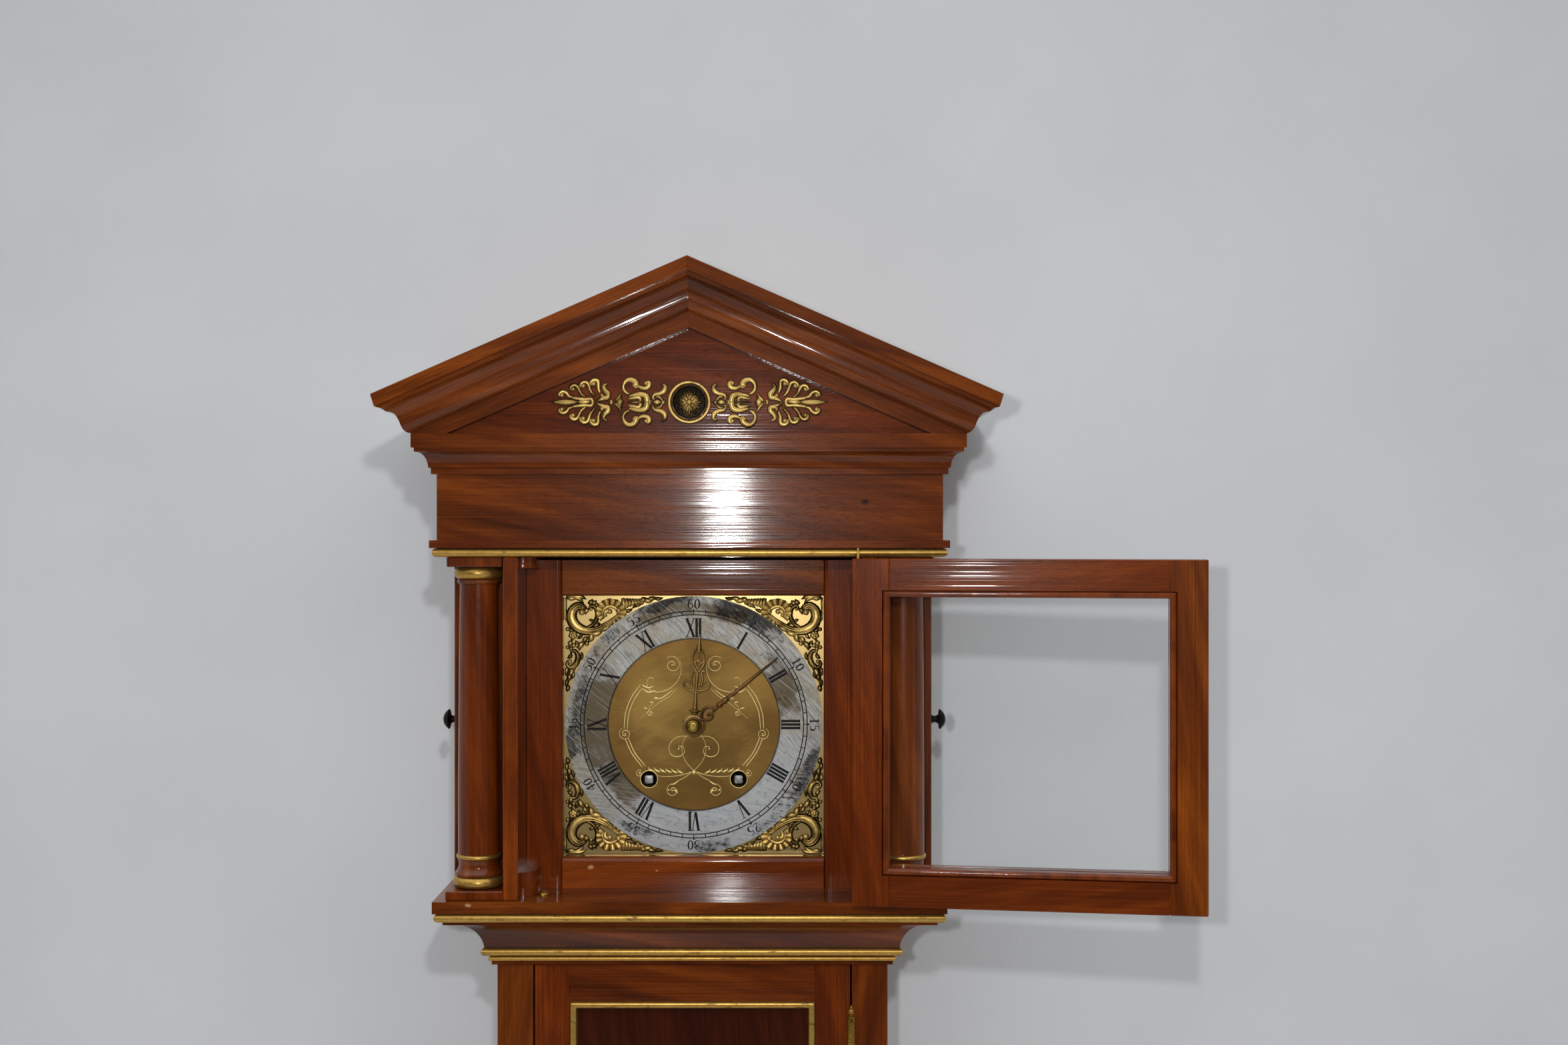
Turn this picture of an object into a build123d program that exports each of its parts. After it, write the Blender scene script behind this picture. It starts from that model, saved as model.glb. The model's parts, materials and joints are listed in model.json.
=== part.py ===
"""Tall mahogany longcase clock with a pedimented hood, its glazed hood door standing open.

+Z is up, +X is to the right of someone who faces the dial, and -Y is towards that person. The origin is the
centre of the plinth's underside. All lengths are in millimetres.
"""
from build123d import *
from math import atan, atan2, cos, degrees, radians, sin
import os

os.makedirs("parts", exist_ok=True)

# ---------------------------------------------------------------- heights, from the floor up
plinth_height = 95.0
base_height = 335.0
waist_height = 42.0
trunk_height = 873.0
throat_height = 49.5
bead_height = 8.5
bead_play = 0.2              # above and below each gilt bead
sill_thickness = 11.0
opening_height = 318.0
ledge_thickness = 7.0
frieze_height = 61.0
cornice_height = 37.0
dial_rise = 155.0            # dial centre above the top of the sill

# ---------------------------------------------------------------- widths and depths
skirt_proud = 6.0
trunk_width = 371.0
trunk_depth = 190.0
hood_overhang = 52.0         # sill beyond the trunk, at the front and at each side
base_overhang = 46.0         # base beyond the trunk, likewise
side_setback = 9.55          # hood sides behind the ends of the sill
block_margin = 1.5           # hood sides beyond the column blocks
post_thickness = 13.7
column_block = 53.5
block_setback = 6.0          # column blocks and posts behind the sill's front
recess_depth = 56.0          # from the posts' front back to the dial mask
frieze_setback = 6.0
ledge_proud = 2.5            # ledge beyond the sill, at each side
board_thickness = 16.0
panel_thickness = 8.0
back_thickness = 10.0
wood_seam = 0.1              # glue line between two pieces of wood
floor_gap = 3.0              # carcase boards above the plinth's foot
ease = 0.8                   # softened edge of a board

# ---------------------------------------------------------------- pediment
pediment_slope = 0.438       # rise over run of the raking cornice
cornice_proud = 20.0
rake_proud = 30.0
rake_height = 43.0           # raking cornice, square to its slope
rake_band = 13.0             # flat band between the ogee and the tympanum
tympanum_recess = 11.0
roof_thickness = 9.0

# ---------------------------------------------------------------- doors
door_thickness = 26.0
door_gap = 0.9
door_stile = 27.0
door_rail = 28.5
door_bead = 6.5
glass_thickness = 3.0
pivot_inset = 3.0            # hood door's pivot from the hinge edge
pivot_depth = 2.0            # and from its outer face
door_open_angle = 172.0
pin_radius = 1.5
pin_length = 9.0
pin_running_clearance = 0.06
side_door_thickness = 14.0
side_stile = 28.0
side_hinge_gap = 1.5
trunk_stile = 34.0
trunk_door_gap = 1.6
trunk_door_thickness = 20.0
trunk_door_stile = 33.0
trunk_door_top_rail = 35.5
trunk_door_bottom_rail = 48.0
gilt_bead_width = 6.5
knuckle_radius = 3.8
knuckle_length = 22.0
hinge_inset = 72.0           # hinge centre from the end of the trunk door

# ---------------------------------------------------------------- dial and movement
dial_size = 256.0
dial_sight = 250.0           # square opening of the dial mask
dial_plate_thickness = 2.5
mask_thickness = 12.0
mask_to_dial = 5.0
ring_outer_radius = 124.0
ring_inner_radius = 82.5
ring_thickness = 1.6
winding_x = 43.3
winding_drop = 53.0
winding_hole_radius = 8.0
minute_hand_length = 104.0
hour_hand_length = 82.0
minute_angle = 51.0
hour_angle = 4.0
plate_width = 200.0
plate_above = 95.0           # movement plates above and below the dial centre
plate_below = 120.0
plate_thickness = 3.0
plate_spacing = 62.0
motion_space = 31.5          # between the dial plate and the front movement plate
pendulum_length = 990.0
bob_radius = 80.0
bob_thickness = 28.0
weight_radius = 27.0
weight_length = 170.0
drum_radius = 22.0
line_radius = 1.0
bell_radius = 34.0
bell_wall = 3.0
running_clearance = 0.05

# ---------------------------------------------------------------- places worked out from the sizes
base_top = plinth_height + base_height
trunk_bottom = base_top + waist_height
trunk_top = trunk_bottom + trunk_height
hood_bottom = trunk_top + throat_height
sill_bottom = hood_bottom + bead_height + 2.5 * bead_play
sill_top = sill_bottom + sill_thickness
opening_top = sill_top + opening_height
ledge_bottom = opening_top + bead_height
ledge_top = ledge_bottom + ledge_thickness
frieze_top = ledge_top + frieze_height
cornice_top = frieze_top + cornice_height
dial_z = sill_top + dial_rise

trunk_half = trunk_width / 2
base_half = trunk_half + base_overhang
hood_depth = trunk_depth + hood_overhang
wall = hood_depth / 2
trunk_front = wall - trunk_depth
base_front_y = trunk_front - base_overhang
sill_front = trunk_front - hood_overhang
sill_half = trunk_half + hood_overhang
ledge_half = sill_half + ledge_proud
frieze_half = ledge_half - frieze_setback
frieze_front = sill_front + frieze_setback
case_half = sill_half - side_setback
post_outer = case_half - block_margin - column_block
opening_half = post_outer - post_thickness
block_front = sill_front + block_setback
mask_front = block_front + recess_depth
mask_back = mask_front + mask_thickness
dial_front = mask_back + mask_to_dial
column_x = post_outer + column_block / 2
column_y = block_front + column_block / 2
back_inside = wall - back_thickness

pivot_x = opening_half - pivot_inset - door_gap
pivot_y = sill_front + 1 + pivot_depth
door_height = opening_height - 2 * door_gap
door_width = 2 * (opening_half - door_gap)
door_z0 = sill_top + door_gap
door_z1 = door_z0 + door_height

front_plate_y = dial_front + dial_plate_thickness + motion_space
back_plate_y = front_plate_y + plate_thickness + plate_spacing
movement_back = back_plate_y + plate_thickness
pendulum_y = movement_back + 18.0


# ---------------------------------------------------------------- helpers for repeated forms
def board(x0, x1, y0, y1, z0, z1):
    """A rectangular board between the given faces."""
    with Locations(((x0 + x1) / 2, (y0 + y1) / 2, (z0 + z1) / 2)):
        Box(x1 - x0, y1 - y0, z1 - z0)


def both_sides(x0, x1, y0, y1, z0, z1):
    """The same board on the right and, mirrored, on the left."""
    board(x0, x1, y0, y1, z0, z1)
    board(-x1, -x0, y0, y1, z0, z1)


def frame_of_boards(x0, x1, y0, y1, z0, z1, stile, top_rail, bottom_rail):
    """Full-height stiles with rails between them, seen from the front."""
    board(x0, x0 + stile, y0, y1, z0, z1)
    board(x1 - stile, x1, y0, y1, z0, z1)
    inner0 = x0 + stile + wood_seam
    inner1 = x1 - stile - wood_seam
    board(inner0, inner1, y0, y1, z1 - top_rail, z1)
    board(inner0, inner1, y0, y1, z0, z0 + bottom_rail)


def soften(part, size=ease):
    """Ease every edge of the boards made so far."""
    chamfer(part.edges(), size)


def cylinder_y(x, z, y0, y1, radius, mode=Mode.ADD):
    """A round bar or hole that lies front to back."""
    with Locations(Location((x, (y0 + y1) / 2, z), (90, 0, 0))):
        Cylinder(radius, y1 - y0, mode=mode)


def cylinder_z(x, y, z0, z1, radius, mode=Mode.ADD):
    """An upright round bar or hole."""
    with Locations((x, y, (z0 + z1) / 2)):
        Cylinder(radius, z1 - z0, mode=mode)


def mitred_surround(section, half_width, front, back):
    """One moulding round the front and both sides, in three strips with mitred corners.

    section draws the profile: x stands out from the faces at half_width and front, y is the height.
    """
    reach = half_width + 80
    over_front = Plane(origin=(-reach, front, 0), x_dir=(0, -1, 0), z_dir=(-1, 0, 0))
    with BuildSketch(over_front, mode=Mode.PRIVATE) as front_profile:
        section()
    strip = extrude(front_profile.sketch, amount=-2 * reach, mode=Mode.PRIVATE)
    for side in (-1, 1):
        corner = Plane(origin=(side * (half_width - wood_seam), front, 0), z_dir=(-side, -1, 0))
        strip = split(strip, bisect_by=corner, keep=Keep.TOP, mode=Mode.PRIVATE)
    add(strip)
    over_side = Plane(origin=(-half_width, front - 80, 0), x_dir=(-1, 0, 0), z_dir=(0, 1, 0))
    with BuildSketch(over_side, mode=Mode.PRIVATE) as side_profile:
        section()
    strip = extrude(side_profile.sketch, amount=back - front + 80, mode=Mode.PRIVATE)
    corner = Plane(origin=(-half_width, front, 0), z_dir=(-1, 1, 0))
    strip = split(strip, bisect_by=corner, keep=Keep.TOP, mode=Mode.PRIVATE)
    add(strip)
    add(mirror(strip, about=Plane.YZ, mode=Mode.PRIVATE))


def rectangle_section(x0, x1, z0, z1):
    """Plain rectangular profile between the given offsets and heights."""
    with Locations(((x0 + x1) / 2, (z0 + z1) / 2)):
        Rectangle(x1 - x0, z1 - z0)


def half_round_section(nose, back, z0, z1):
    """Bead with a flat back and a half-round nose that reaches out to nose."""
    radius = (z1 - z0) / 2
    with BuildLine() as outline:
        Polyline((nose - radius, z0), (back, z0), (back, z1), (nose - radius, z1))
        ThreePointArc((nose - radius, z1), (nose, z0 + radius), (nose - radius, z0))
    make_face(outline.edges())


def bead_ring(plane, x0, x1, z0, z1, width, height):
    """A rounded moulding round a rectangle, standing on the plane."""
    with BuildSketch(plane, mode=Mode.PRIVATE) as outline:
        with Locations(((x0 + x1) / 2, (z0 + z1) / 2)):
            Rectangle(x1 - x0, z1 - z0)
            Rectangle(x1 - x0 - 2 * width, z1 - z0 - 2 * width, mode=Mode.SUBTRACT)
    ring = extrude(outline.sketch, amount=height, mode=Mode.PRIVATE)
    outward = Axis(plane.origin, plane.z_dir)
    crest = ring.faces().filter_by(outward).sort_by(outward)[-1]
    add(ring.fillet(width * 0.45, crest.edges()))


def gear_outline(teeth, module, phase):
    """Slim straight teeth on a round body; one tooth stands at the phase angle, in degrees."""
    pitch_radius = teeth * module / 2
    root_radius = pitch_radius - 1.1 * module
    tip_radius = pitch_radius + 0.8 * module
    step = 360 / teeth
    corners = []
    for tooth in range(teeth):
        centre = phase + tooth * step
        flanks = ((root_radius, -0.21), (tip_radius, -0.12), (tip_radius, 0.12), (root_radius, 0.21))
        for radius, offset in flanks:
            angle = radians(centre + offset * step)
            corners.append((radius * cos(angle), radius * sin(angle)))
    Polygon(*corners, align=None)


def front_view(y, x=0.0, z=0.0, turn=0.0):
    """Upright plane that faces the viewer, with its own up turned clockwise from +Z."""
    angle = radians(turn)
    return Plane(origin=(x, y, z), x_dir=(cos(angle), 0, -sin(angle)), z_dir=(0, -1, 0))


def wheel(x, z, y0, y1, teeth, module, phase, spokes=True):
    """A toothed wheel between two depths, crossed out to four spokes if it is a large one."""
    with BuildSketch(front_view(y1, x, z)) as outline:
        gear_outline(teeth, module, phase)
        rim = teeth * module / 2 - 3.2 * module
        if spokes:
            with PolarLocations(rim * 0.56, 4, start_angle=45):
                Circle(rim * 0.3, mode=Mode.SUBTRACT)
    extrude(outline.sketch, amount=y1 - y0)


def hollow_round(x, z, y0, y1, outer, inner):
    """A tube that lies front to back."""
    cylinder_y(x, z, y0, y1, outer)
    cylinder_y(x, z, y0 - 1, y1 + 1, inner, mode=Mode.SUBTRACT)


# ================================================================ base
base_front_thickness = 20.0
base_stile = 58.0
base_rail = 52.0
base_panel_recess = 9.0

with BuildPart() as plinth_skirt:
    def skirt_section():
        round_z = plinth_height - 5
        with BuildLine() as outline:
            Polyline((0, 0), (skirt_proud, 0), (skirt_proud, round_z))
            ThreePointArc(
                (skirt_proud, round_z), (skirt_proud - 2, plinth_height - 1.2), (0.5, plinth_height),
            )
            Polyline((0.5, plinth_height), (0, plinth_height), (0, 0))
        make_face(outline.edges())

    mitred_surround(skirt_section, base_half + wood_seam, base_front_y - wood_seam, wall)

with BuildPart() as base_front:
    frame_of_boards(
        -base_half, base_half, base_front_y, base_front_y + base_front_thickness,
        floor_gap, base_top, base_stile, base_rail, plinth_height + base_rail,
    )
    panel_x = base_half - base_stile - 2 * wood_seam
    panel_y = base_front_y + base_panel_recess
    board(
        -panel_x, panel_x, panel_y, panel_y + panel_thickness,
        plinth_height + base_rail + floor_gap + wood_seam, base_top - base_rail - wood_seam,
    )
    soften(base_front)

with BuildPart() as base_boards:
    boards_y0 = base_front_y + base_front_thickness + wood_seam
    boards_y1 = back_inside - wood_seam
    both_sides(base_half - board_thickness, base_half, boards_y0, boards_y1, floor_gap, base_top)
    inside_x = base_half - board_thickness - wood_seam
    board(-inside_x, inside_x, boards_y0, boards_y1, 0, board_thickness)
    soften(base_boards)

with BuildPart() as waist_moulding:
    def waist_section():
        with BuildLine() as outline:
            Polyline((0, trunk_bottom), (0, base_top), (base_overhang + 3, base_top))
            Line((base_overhang + 3, base_top), (base_overhang + 3, base_top + 7))
            Line((base_overhang + 3, base_top + 7), (base_overhang - 2, base_top + 10))
            ThreePointArc((base_overhang - 2, base_top + 10), (16, base_top + 19), (5, trunk_bottom - 6))
            Polyline((5, trunk_bottom - 6), (7, trunk_bottom - 6), (7, trunk_bottom), (0, trunk_bottom))
        make_face(outline.edges())

    mitred_surround(waist_section, trunk_half + wood_seam, trunk_front - wood_seam, wall)

# ================================================================ trunk carcase
seat_top = dial_z - plate_below
seat_thickness = 18.0
seat_bottom = seat_top - seat_thickness
front_frame_thickness = 20.0
cheek_front = mask_back + 3
trunk_boards_top = hood_bottom - 0.4

with BuildPart() as trunk_sides:
    with BuildSketch(Plane.YZ.offset(trunk_half - board_thickness)):
        front_edge = trunk_front + front_frame_thickness + wood_seam
        rear_edge = back_inside - wood_seam
        with BuildLine():
            Polyline(
                (front_edge, base_top + wood_seam), (front_edge, trunk_boards_top),
                (cheek_front, trunk_boards_top), (cheek_front, seat_bottom),
                (rear_edge, seat_bottom), (rear_edge, base_top + wood_seam), close=True,
            )
        make_face()
    extrude(amount=board_thickness)
    mirror(about=Plane.YZ)

with BuildPart() as back_board:
    board(-base_half, base_half, back_inside, wall, floor_gap, base_top)
    board(-trunk_half, trunk_half, back_inside, wall, base_top + wood_seam, frieze_top)
    ear = case_half - board_thickness - 1
    both_sides(trunk_half + wood_seam, ear, back_inside, wall, sill_top + 1, opening_top - 1)
    soften(back_board, 0.4)

stile_inner = trunk_half - trunk_stile
trunk_door_half = stile_inner - trunk_door_gap
trunk_door_z0 = trunk_bottom + 58.0
trunk_door_z1 = trunk_top - 0.8

with BuildPart() as trunk_front_frame:
    frame_of_boards(
        -trunk_half, trunk_half, trunk_front, trunk_front + front_frame_thickness,
        base_top + wood_seam, trunk_boards_top, trunk_stile,
        trunk_boards_top - trunk_top, trunk_door_z0 - trunk_door_gap - base_top,
    )
    soften(trunk_front_frame)

with BuildPart() as throat_moulding:
    def throat_section():
        low = trunk_top + 0.4
        with BuildLine() as outline:
            Polyline(
                (0, low), (4.5, low), (4.5, trunk_top + 3.8), (3.5, trunk_top + 3.8),
                (3.5, trunk_top + 18), (10.5, trunk_top + 18),
            )
            ThreePointArc((10.5, trunk_top + 18), (20.5, trunk_top + 37.5), (41.5, trunk_top + 46.5))
            Polyline(
                (41.5, trunk_top + 46.5), (43.5, trunk_top + 46.5), (43.5, hood_bottom - 0.3),
                (0, hood_bottom - 0.3), (0, low),
            )
        make_face(outline.edges())

    mitred_surround(throat_section, trunk_half + wood_seam, trunk_front - wood_seam, wall)

with BuildPart() as throat_gilt_beads:
    def lower_bead():
        half_round_section(7.5, 3.6, trunk_top + 4.0, trunk_top + 8.6)

    def upper_bead():
        half_round_section(13.5, 3.6, trunk_top + 10.0, trunk_top + 17.6)

    mitred_surround(lower_bead, trunk_half, trunk_front, wall)
    mitred_surround(upper_bead, trunk_half, trunk_front, wall)

line_x = winding_x + drum_radius + line_radius
line_fixed_x = winding_x - drum_radius - line_radius
line_slot_half = 7.0
drum_y0 = front_plate_y + plate_thickness + 12
drum_y1 = drum_y0 + 34
line_y = (drum_y0 + drum_y1) / 2

with BuildPart() as seat_board:
    board(-trunk_half, trunk_half, cheek_front + 8, movement_back + 2, seat_bottom + wood_seam, seat_top)
    with Locations(*[(side * line_x, line_y, seat_bottom) for side in (-1, 1)]):
        Box(2 * line_slot_half, 2 * line_slot_half, 4 * seat_thickness, mode=Mode.SUBTRACT)

# ================================================================ trunk door
door_front = trunk_front
door_back = trunk_front + trunk_door_thickness
panel_front = trunk_front + 10
opening_x = trunk_door_half - trunk_door_stile
opening_z0 = trunk_door_z0 + trunk_door_bottom_rail
opening_z1 = trunk_door_z1 - trunk_door_top_rail
hinge_x = stile_inner - trunk_door_gap / 2
hinge_y = trunk_front - knuckle_radius - 0.2
hinge_heights = (trunk_door_z1 - hinge_inset, trunk_door_z0 + hinge_inset)
lock_z = (trunk_door_z0 + trunk_door_z1) / 2
lock_x = -trunk_door_half + trunk_door_stile / 2
keyhole_radius = 3.2

with BuildPart() as trunk_door_frame:
    frame_of_boards(
        -trunk_door_half, trunk_door_half, door_front, door_back, trunk_door_z0, trunk_door_z1,
        trunk_door_stile, trunk_door_top_rail, trunk_door_bottom_rail,
    )
    soften(trunk_door_frame)
    cylinder_y(lock_x, lock_z, door_front - 1, door_back + 1, keyhole_radius, mode=Mode.SUBTRACT)

with BuildPart() as trunk_door_panel:
    panel_half = opening_x - 2 * wood_seam
    board(
        -panel_half, panel_half, panel_front, panel_front + panel_thickness,
        opening_z0 + 2 * wood_seam, opening_z1 - 2 * wood_seam,
    )

with BuildPart() as trunk_door_gilt_bead:
    bead_ring(
        Plane.XZ.offset(-panel_front), -opening_x + wood_seam, opening_x - wood_seam,
        opening_z0 + wood_seam, opening_z1 - wood_seam, gilt_bead_width, 10.6,
    )

leaf_thickness = 0.6
leaf_depth = 16.0


def hinge_leaf(x0, x1, z, knuckle_z0, knuckle_z1):
    """A thin leaf let in between door and stile, joined to its own knuckle."""
    board(x0, x1, trunk_front + 0.3, trunk_front + leaf_depth, z - knuckle_length, z + knuckle_length)
    board(x0, x1, hinge_y, trunk_front + 0.4, knuckle_z0, knuckle_z1)


def hinge_finial(z, up):
    """Turned tip on the end of a hinge barrel."""
    with BuildSketch(front_view(hinge_y, hinge_x, z)) as profile:
        with BuildLine():
            Polyline((0, 0), (knuckle_radius, 0), (knuckle_radius, 1.6 * up), (1.8, 3.2 * up))
            ThreePointArc((1.8, 3.2 * up), (3.1, 6.2 * up), (1.3, 9.4 * up))
            Polyline((1.3, 9.4 * up), (0, 12.6 * up), (0, 0))
        make_face()
    revolve(profile.sketch, axis=Axis((hinge_x, hinge_y, 0), (0, 0, 1)))


with BuildPart() as trunk_hinges_case:
    leaf_x = hinge_x + 0.1
    for height in hinge_heights:
        hinge_leaf(leaf_x, leaf_x + leaf_thickness, height, height - knuckle_length, height - 0.3)
        cylinder_z(hinge_x, hinge_y, height - knuckle_length, height - 0.3, knuckle_radius)
        cylinder_z(hinge_x, hinge_y, height - 1, height + knuckle_length + 1, pin_radius)
        hinge_finial(height + knuckle_length + 0.3, 1)
        hinge_finial(height - knuckle_length, -1)

with BuildPart() as trunk_hinges_door:
    for height in hinge_heights:
        hinge_leaf(hinge_x - 0.1 - leaf_thickness, hinge_x - 0.1, height, height, height + knuckle_length)
        cylinder_z(hinge_x, hinge_y, height, height + knuckle_length, knuckle_radius)
        cylinder_z(
            hinge_x, hinge_y, height - 1, height + knuckle_length + 1,
            pin_radius + pin_running_clearance, mode=Mode.SUBTRACT,
        )

escutcheon_thickness = 1.6
lock_case_depth = 11.0
key_y0 = trunk_front - 34

with BuildPart() as trunk_door_lock:
    with BuildSketch(Plane.XZ.offset(-(trunk_front - 0.1))):
        with Locations((lock_x, lock_z)):
            Ellipse(9, 15)
    extrude(amount=escutcheon_thickness)
    board(
        lock_x - 14, lock_x + 14, door_back + 0.1, door_back + lock_case_depth, lock_z - 24, lock_z + 24,
    )
    cylinder_y(
        lock_x, lock_z, trunk_front - 5, door_back + 20, keyhole_radius, mode=Mode.SUBTRACT,
    )

with BuildPart() as trunk_key:
    cylinder_y(lock_x, lock_z, key_y0, door_back + lock_case_depth - 1, 2.4)
    board(lock_x - 1, lock_x + 1, door_back - 7, door_back, lock_z - keyhole_radius + 0.4, lock_z)
    with BuildSketch(Plane.YZ.offset(lock_x - 1.5)):
        with Locations((key_y0 - 9, lock_z)):
            Ellipse(11, 13)
            Ellipse(6.5, 8.5, mode=Mode.SUBTRACT)
    extrude(amount=3)

# ================================================================ hood
strip_depth = 50.0
front_strip_back = mask_back
hood_back = wall
sill_bead_nose = -1.2        # gilt beads behind the edge of the board above or below them
ledge_bead_nose = -2.0
sill_bead_back = sill_bead_nose - (sill_bottom - hood_bottom) / 2 - 0.2
ledge_bead_back = ledge_bead_nose - (ledge_bottom - opening_top) / 2 - 0.65

with BuildPart() as hood_sill:
    def sill_section():
        rectangle_section(-strip_depth, 0, sill_bottom, sill_top)
        rectangle_section(-strip_depth, sill_bead_back - wood_seam, hood_bottom, sill_bottom + 1)

    mitred_surround(sill_section, sill_half, sill_front, hood_back)
    inner_x = sill_half - strip_depth - wood_seam
    board(
        -inner_x, inner_x, sill_front + strip_depth + wood_seam, front_strip_back, hood_bottom, sill_top,
    )

with BuildPart() as hood_ledge:
    def ledge_section():
        rectangle_section(-strip_depth, 0, ledge_bottom, ledge_top)
        rectangle_section(-strip_depth, ledge_bead_back - wood_seam, opening_top, ledge_bottom + 1)

    mitred_surround(ledge_section, ledge_half, sill_front, hood_back)
    inner_x = ledge_half - strip_depth - wood_seam
    board(
        -inner_x, inner_x, sill_front + strip_depth + wood_seam, front_strip_back, opening_top, ledge_top,
    )

base_ring_z = sill_top + 8.7
scotia_z = base_ring_z + 11.6
shaft_z0 = sill_top + 40.0
shaft_z1 = opening_top - 25.4
capital_z = opening_top - 21.0
abacus_z = opening_top - 9.2
shaft_foot_radius = 19.2
shaft_neck_radius = 17.6


def at_columns():
    """Both column axes."""
    return Locations((-column_x, column_y, 0), (column_x, column_y, 0))


def turned(outline):
    """Revolve a profile of radius and height round both column axes."""
    with BuildSketch(Plane.XZ, mode=Mode.PRIVATE) as profile:
        with BuildLine():
            outline()
        make_face()
    body = revolve(profile.sketch, axis=Axis.Z, mode=Mode.PRIVATE)
    with at_columns():
        add(body)


def torus_outline(radius, z0, z1, core):
    """Half-round ring on a plain core."""
    height = z1 - z0
    Polyline((radius - height / 2, z0), (core, z0), (core, z1), (radius - height / 2, z1))
    ThreePointArc((radius - height / 2, z1), (radius, (z0 + z1) / 2), (radius - height / 2, z0))


with BuildPart() as columns:
    def shaft():
        Polyline((0, shaft_z1), (0, shaft_z0), (shaft_foot_radius, shaft_z0))
        ThreePointArc(
            (shaft_foot_radius, shaft_z0), (shaft_foot_radius - 0.3, (shaft_z0 + shaft_z1) / 2),
            (shaft_neck_radius, shaft_z1),
        )
        Line((shaft_neck_radius, shaft_z1), (0, shaft_z1))

    def scotia():
        low = scotia_z
        high = shaft_z0 - 4.6
        Polyline((0, high), (0, low), (22, low), (22, low + 2))
        ThreePointArc((22, low + 2), (18.4, (low + high) / 2 + 2), (19.5, high - 0.5))
        Polyline((19.5, high - 0.5), (19.5, high), (0, high))

    def collar():
        torus_outline(20, shaft_z1 + 0.1, capital_z - 0.1, 0)

    half_block = column_block / 2
    for block_z0, block_z1, inset in (
        (sill_top + wood_seam, base_ring_z - wood_seam, 0), (abacus_z, opening_top - wood_seam, 1.2),
    ):
        both_sides(
            column_x - half_block + inset, column_x + half_block - inset - wood_seam,
            column_y - half_block + inset, column_y + half_block - inset, block_z0, block_z1,
        )
    soften(columns)
    turned(scotia)
    turned(shaft)
    turned(collar)

with BuildPart() as hood_gilt_trim:
    def sill_bead():
        half_round_section(sill_bead_nose, sill_bead_back, hood_bottom + bead_play, sill_bottom - bead_play)

    def ledge_bead():
        half_round_section(
            ledge_bead_nose, ledge_bead_back, opening_top + bead_play, ledge_bottom - bead_play,
        )

    def base_torus():
        torus_outline(23.8, base_ring_z, scotia_z - 0.1, 0)

    def foot_ring():
        torus_outline(20.9, shaft_z0 - 4.5, shaft_z0 - 0.1, 0)

    def capital_torus():
        torus_outline(23, capital_z, abacus_z - 0.1, 0)

    mitred_surround(sill_bead, sill_half, sill_front, hood_back)
    mitred_surround(ledge_bead, ledge_half, sill_front, hood_back)
    turned(base_torus)
    turned(foot_ring)
    turned(capital_torus)

mask_half = opening_half - 0.3
sight_half = dial_sight / 2
mask_z0 = sill_top + wood_seam
mask_z1 = opening_top - 4.0
stop_front = pivot_y - pivot_depth + door_thickness + 0.4

with BuildPart() as hood_posts:
    both_sides(
        opening_half, post_outer - wood_seam, block_front, mask_back,
        sill_top + wood_seam, opening_top - wood_seam,
    )
    soften(hood_posts)
    lower_stop = (sill_top + wood_seam, sill_top + 22)
    upper_stop = (opening_top - 11, opening_top - wood_seam)
    for stop_z0, stop_z1 in (lower_stop, upper_stop):
        with BuildSketch(Plane.XY.offset(stop_z0)):
            with BuildLine():
                edge = -opening_half + wood_seam
                nose = edge + 13
                Polyline(
                    (edge, stop_front), (edge, mask_front - 0.2), (nose, mask_front - 0.2),
                    (nose, stop_front + 12),
                )
                ThreePointArc((nose, stop_front + 12), (edge + 9.2, stop_front + 3.6), (edge, stop_front))
            make_face()
        extrude(amount=stop_z1 - stop_z0)

mask_nose = 5.0
with BuildPart() as dial_mask:
    board(-mask_half, -sight_half, mask_front, mask_back, mask_z0, mask_z1)
    board(sight_half, mask_half, mask_front, mask_back, mask_z0, mask_z1)
    rail_x = sight_half - wood_seam
    board(-rail_x, rail_x, mask_front, mask_back, dial_z + sight_half, mask_z1)
    board(-rail_x, rail_x, mask_front, mask_back, mask_z0, dial_z - sight_half)
    upright = dial_mask.edges().filter_by(Axis.Z).filter_by_position(Axis.Y, mask_front - 1, mask_front + 1)
    inner_upright = upright.filter_by_position(Axis.X, -sight_half - 0.01, sight_half + 0.01)
    inner_upright = inner_upright.filter_by(lambda edge: abs(abs(edge.center().X) - sight_half) < 0.05)
    level = dial_mask.edges().filter_by(Axis.X).filter_by_position(Axis.Y, mask_front - 1, mask_front + 1)
    inner_level = level.filter_by(lambda edge: abs(abs(edge.center().Z - dial_z) - sight_half) < 0.05)
    fillet(inner_upright + inner_level, mask_nose)

niche_thickness = 14.0
niche_front = mask_front - 1
side_inner = case_half - board_thickness
rear_stile = 22.0
side_door_y0 = niche_front + niche_thickness + 1.0
side_door_y1 = wall - rear_stile - side_hinge_gap

with BuildPart() as hood_side_frames:
    both_sides(
        post_outer + wood_seam, case_half, niche_front, niche_front + niche_thickness,
        sill_top + wood_seam, opening_top - wood_seam,
    )
    both_sides(
        side_inner, case_half, wall - rear_stile, wall, sill_top + wood_seam, opening_top - wood_seam,
    )
    soften(hood_side_frames)

with BuildPart() as frieze:
    def frieze_section():
        rectangle_section(-14, 0, ledge_top + wood_seam, frieze_top)

    mitred_surround(frieze_section, frieze_half, frieze_front, hood_back)

# ================================================================ pediment
rake_angle = degrees(atan(pediment_slope))
band_half = frieze_half + cornice_proud
band_front = frieze_front - cornice_proud
moulding_back = 26.0


def roof_line(x, drop=0.0):
    """Height, x away from the middle, of the line that lies drop below the roof's upper face."""
    apex = cornice_top + pediment_slope * band_half + rake_height / cos(radians(rake_angle))
    return apex - drop / cos(radians(rake_angle)) - pediment_slope * abs(x)


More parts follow.
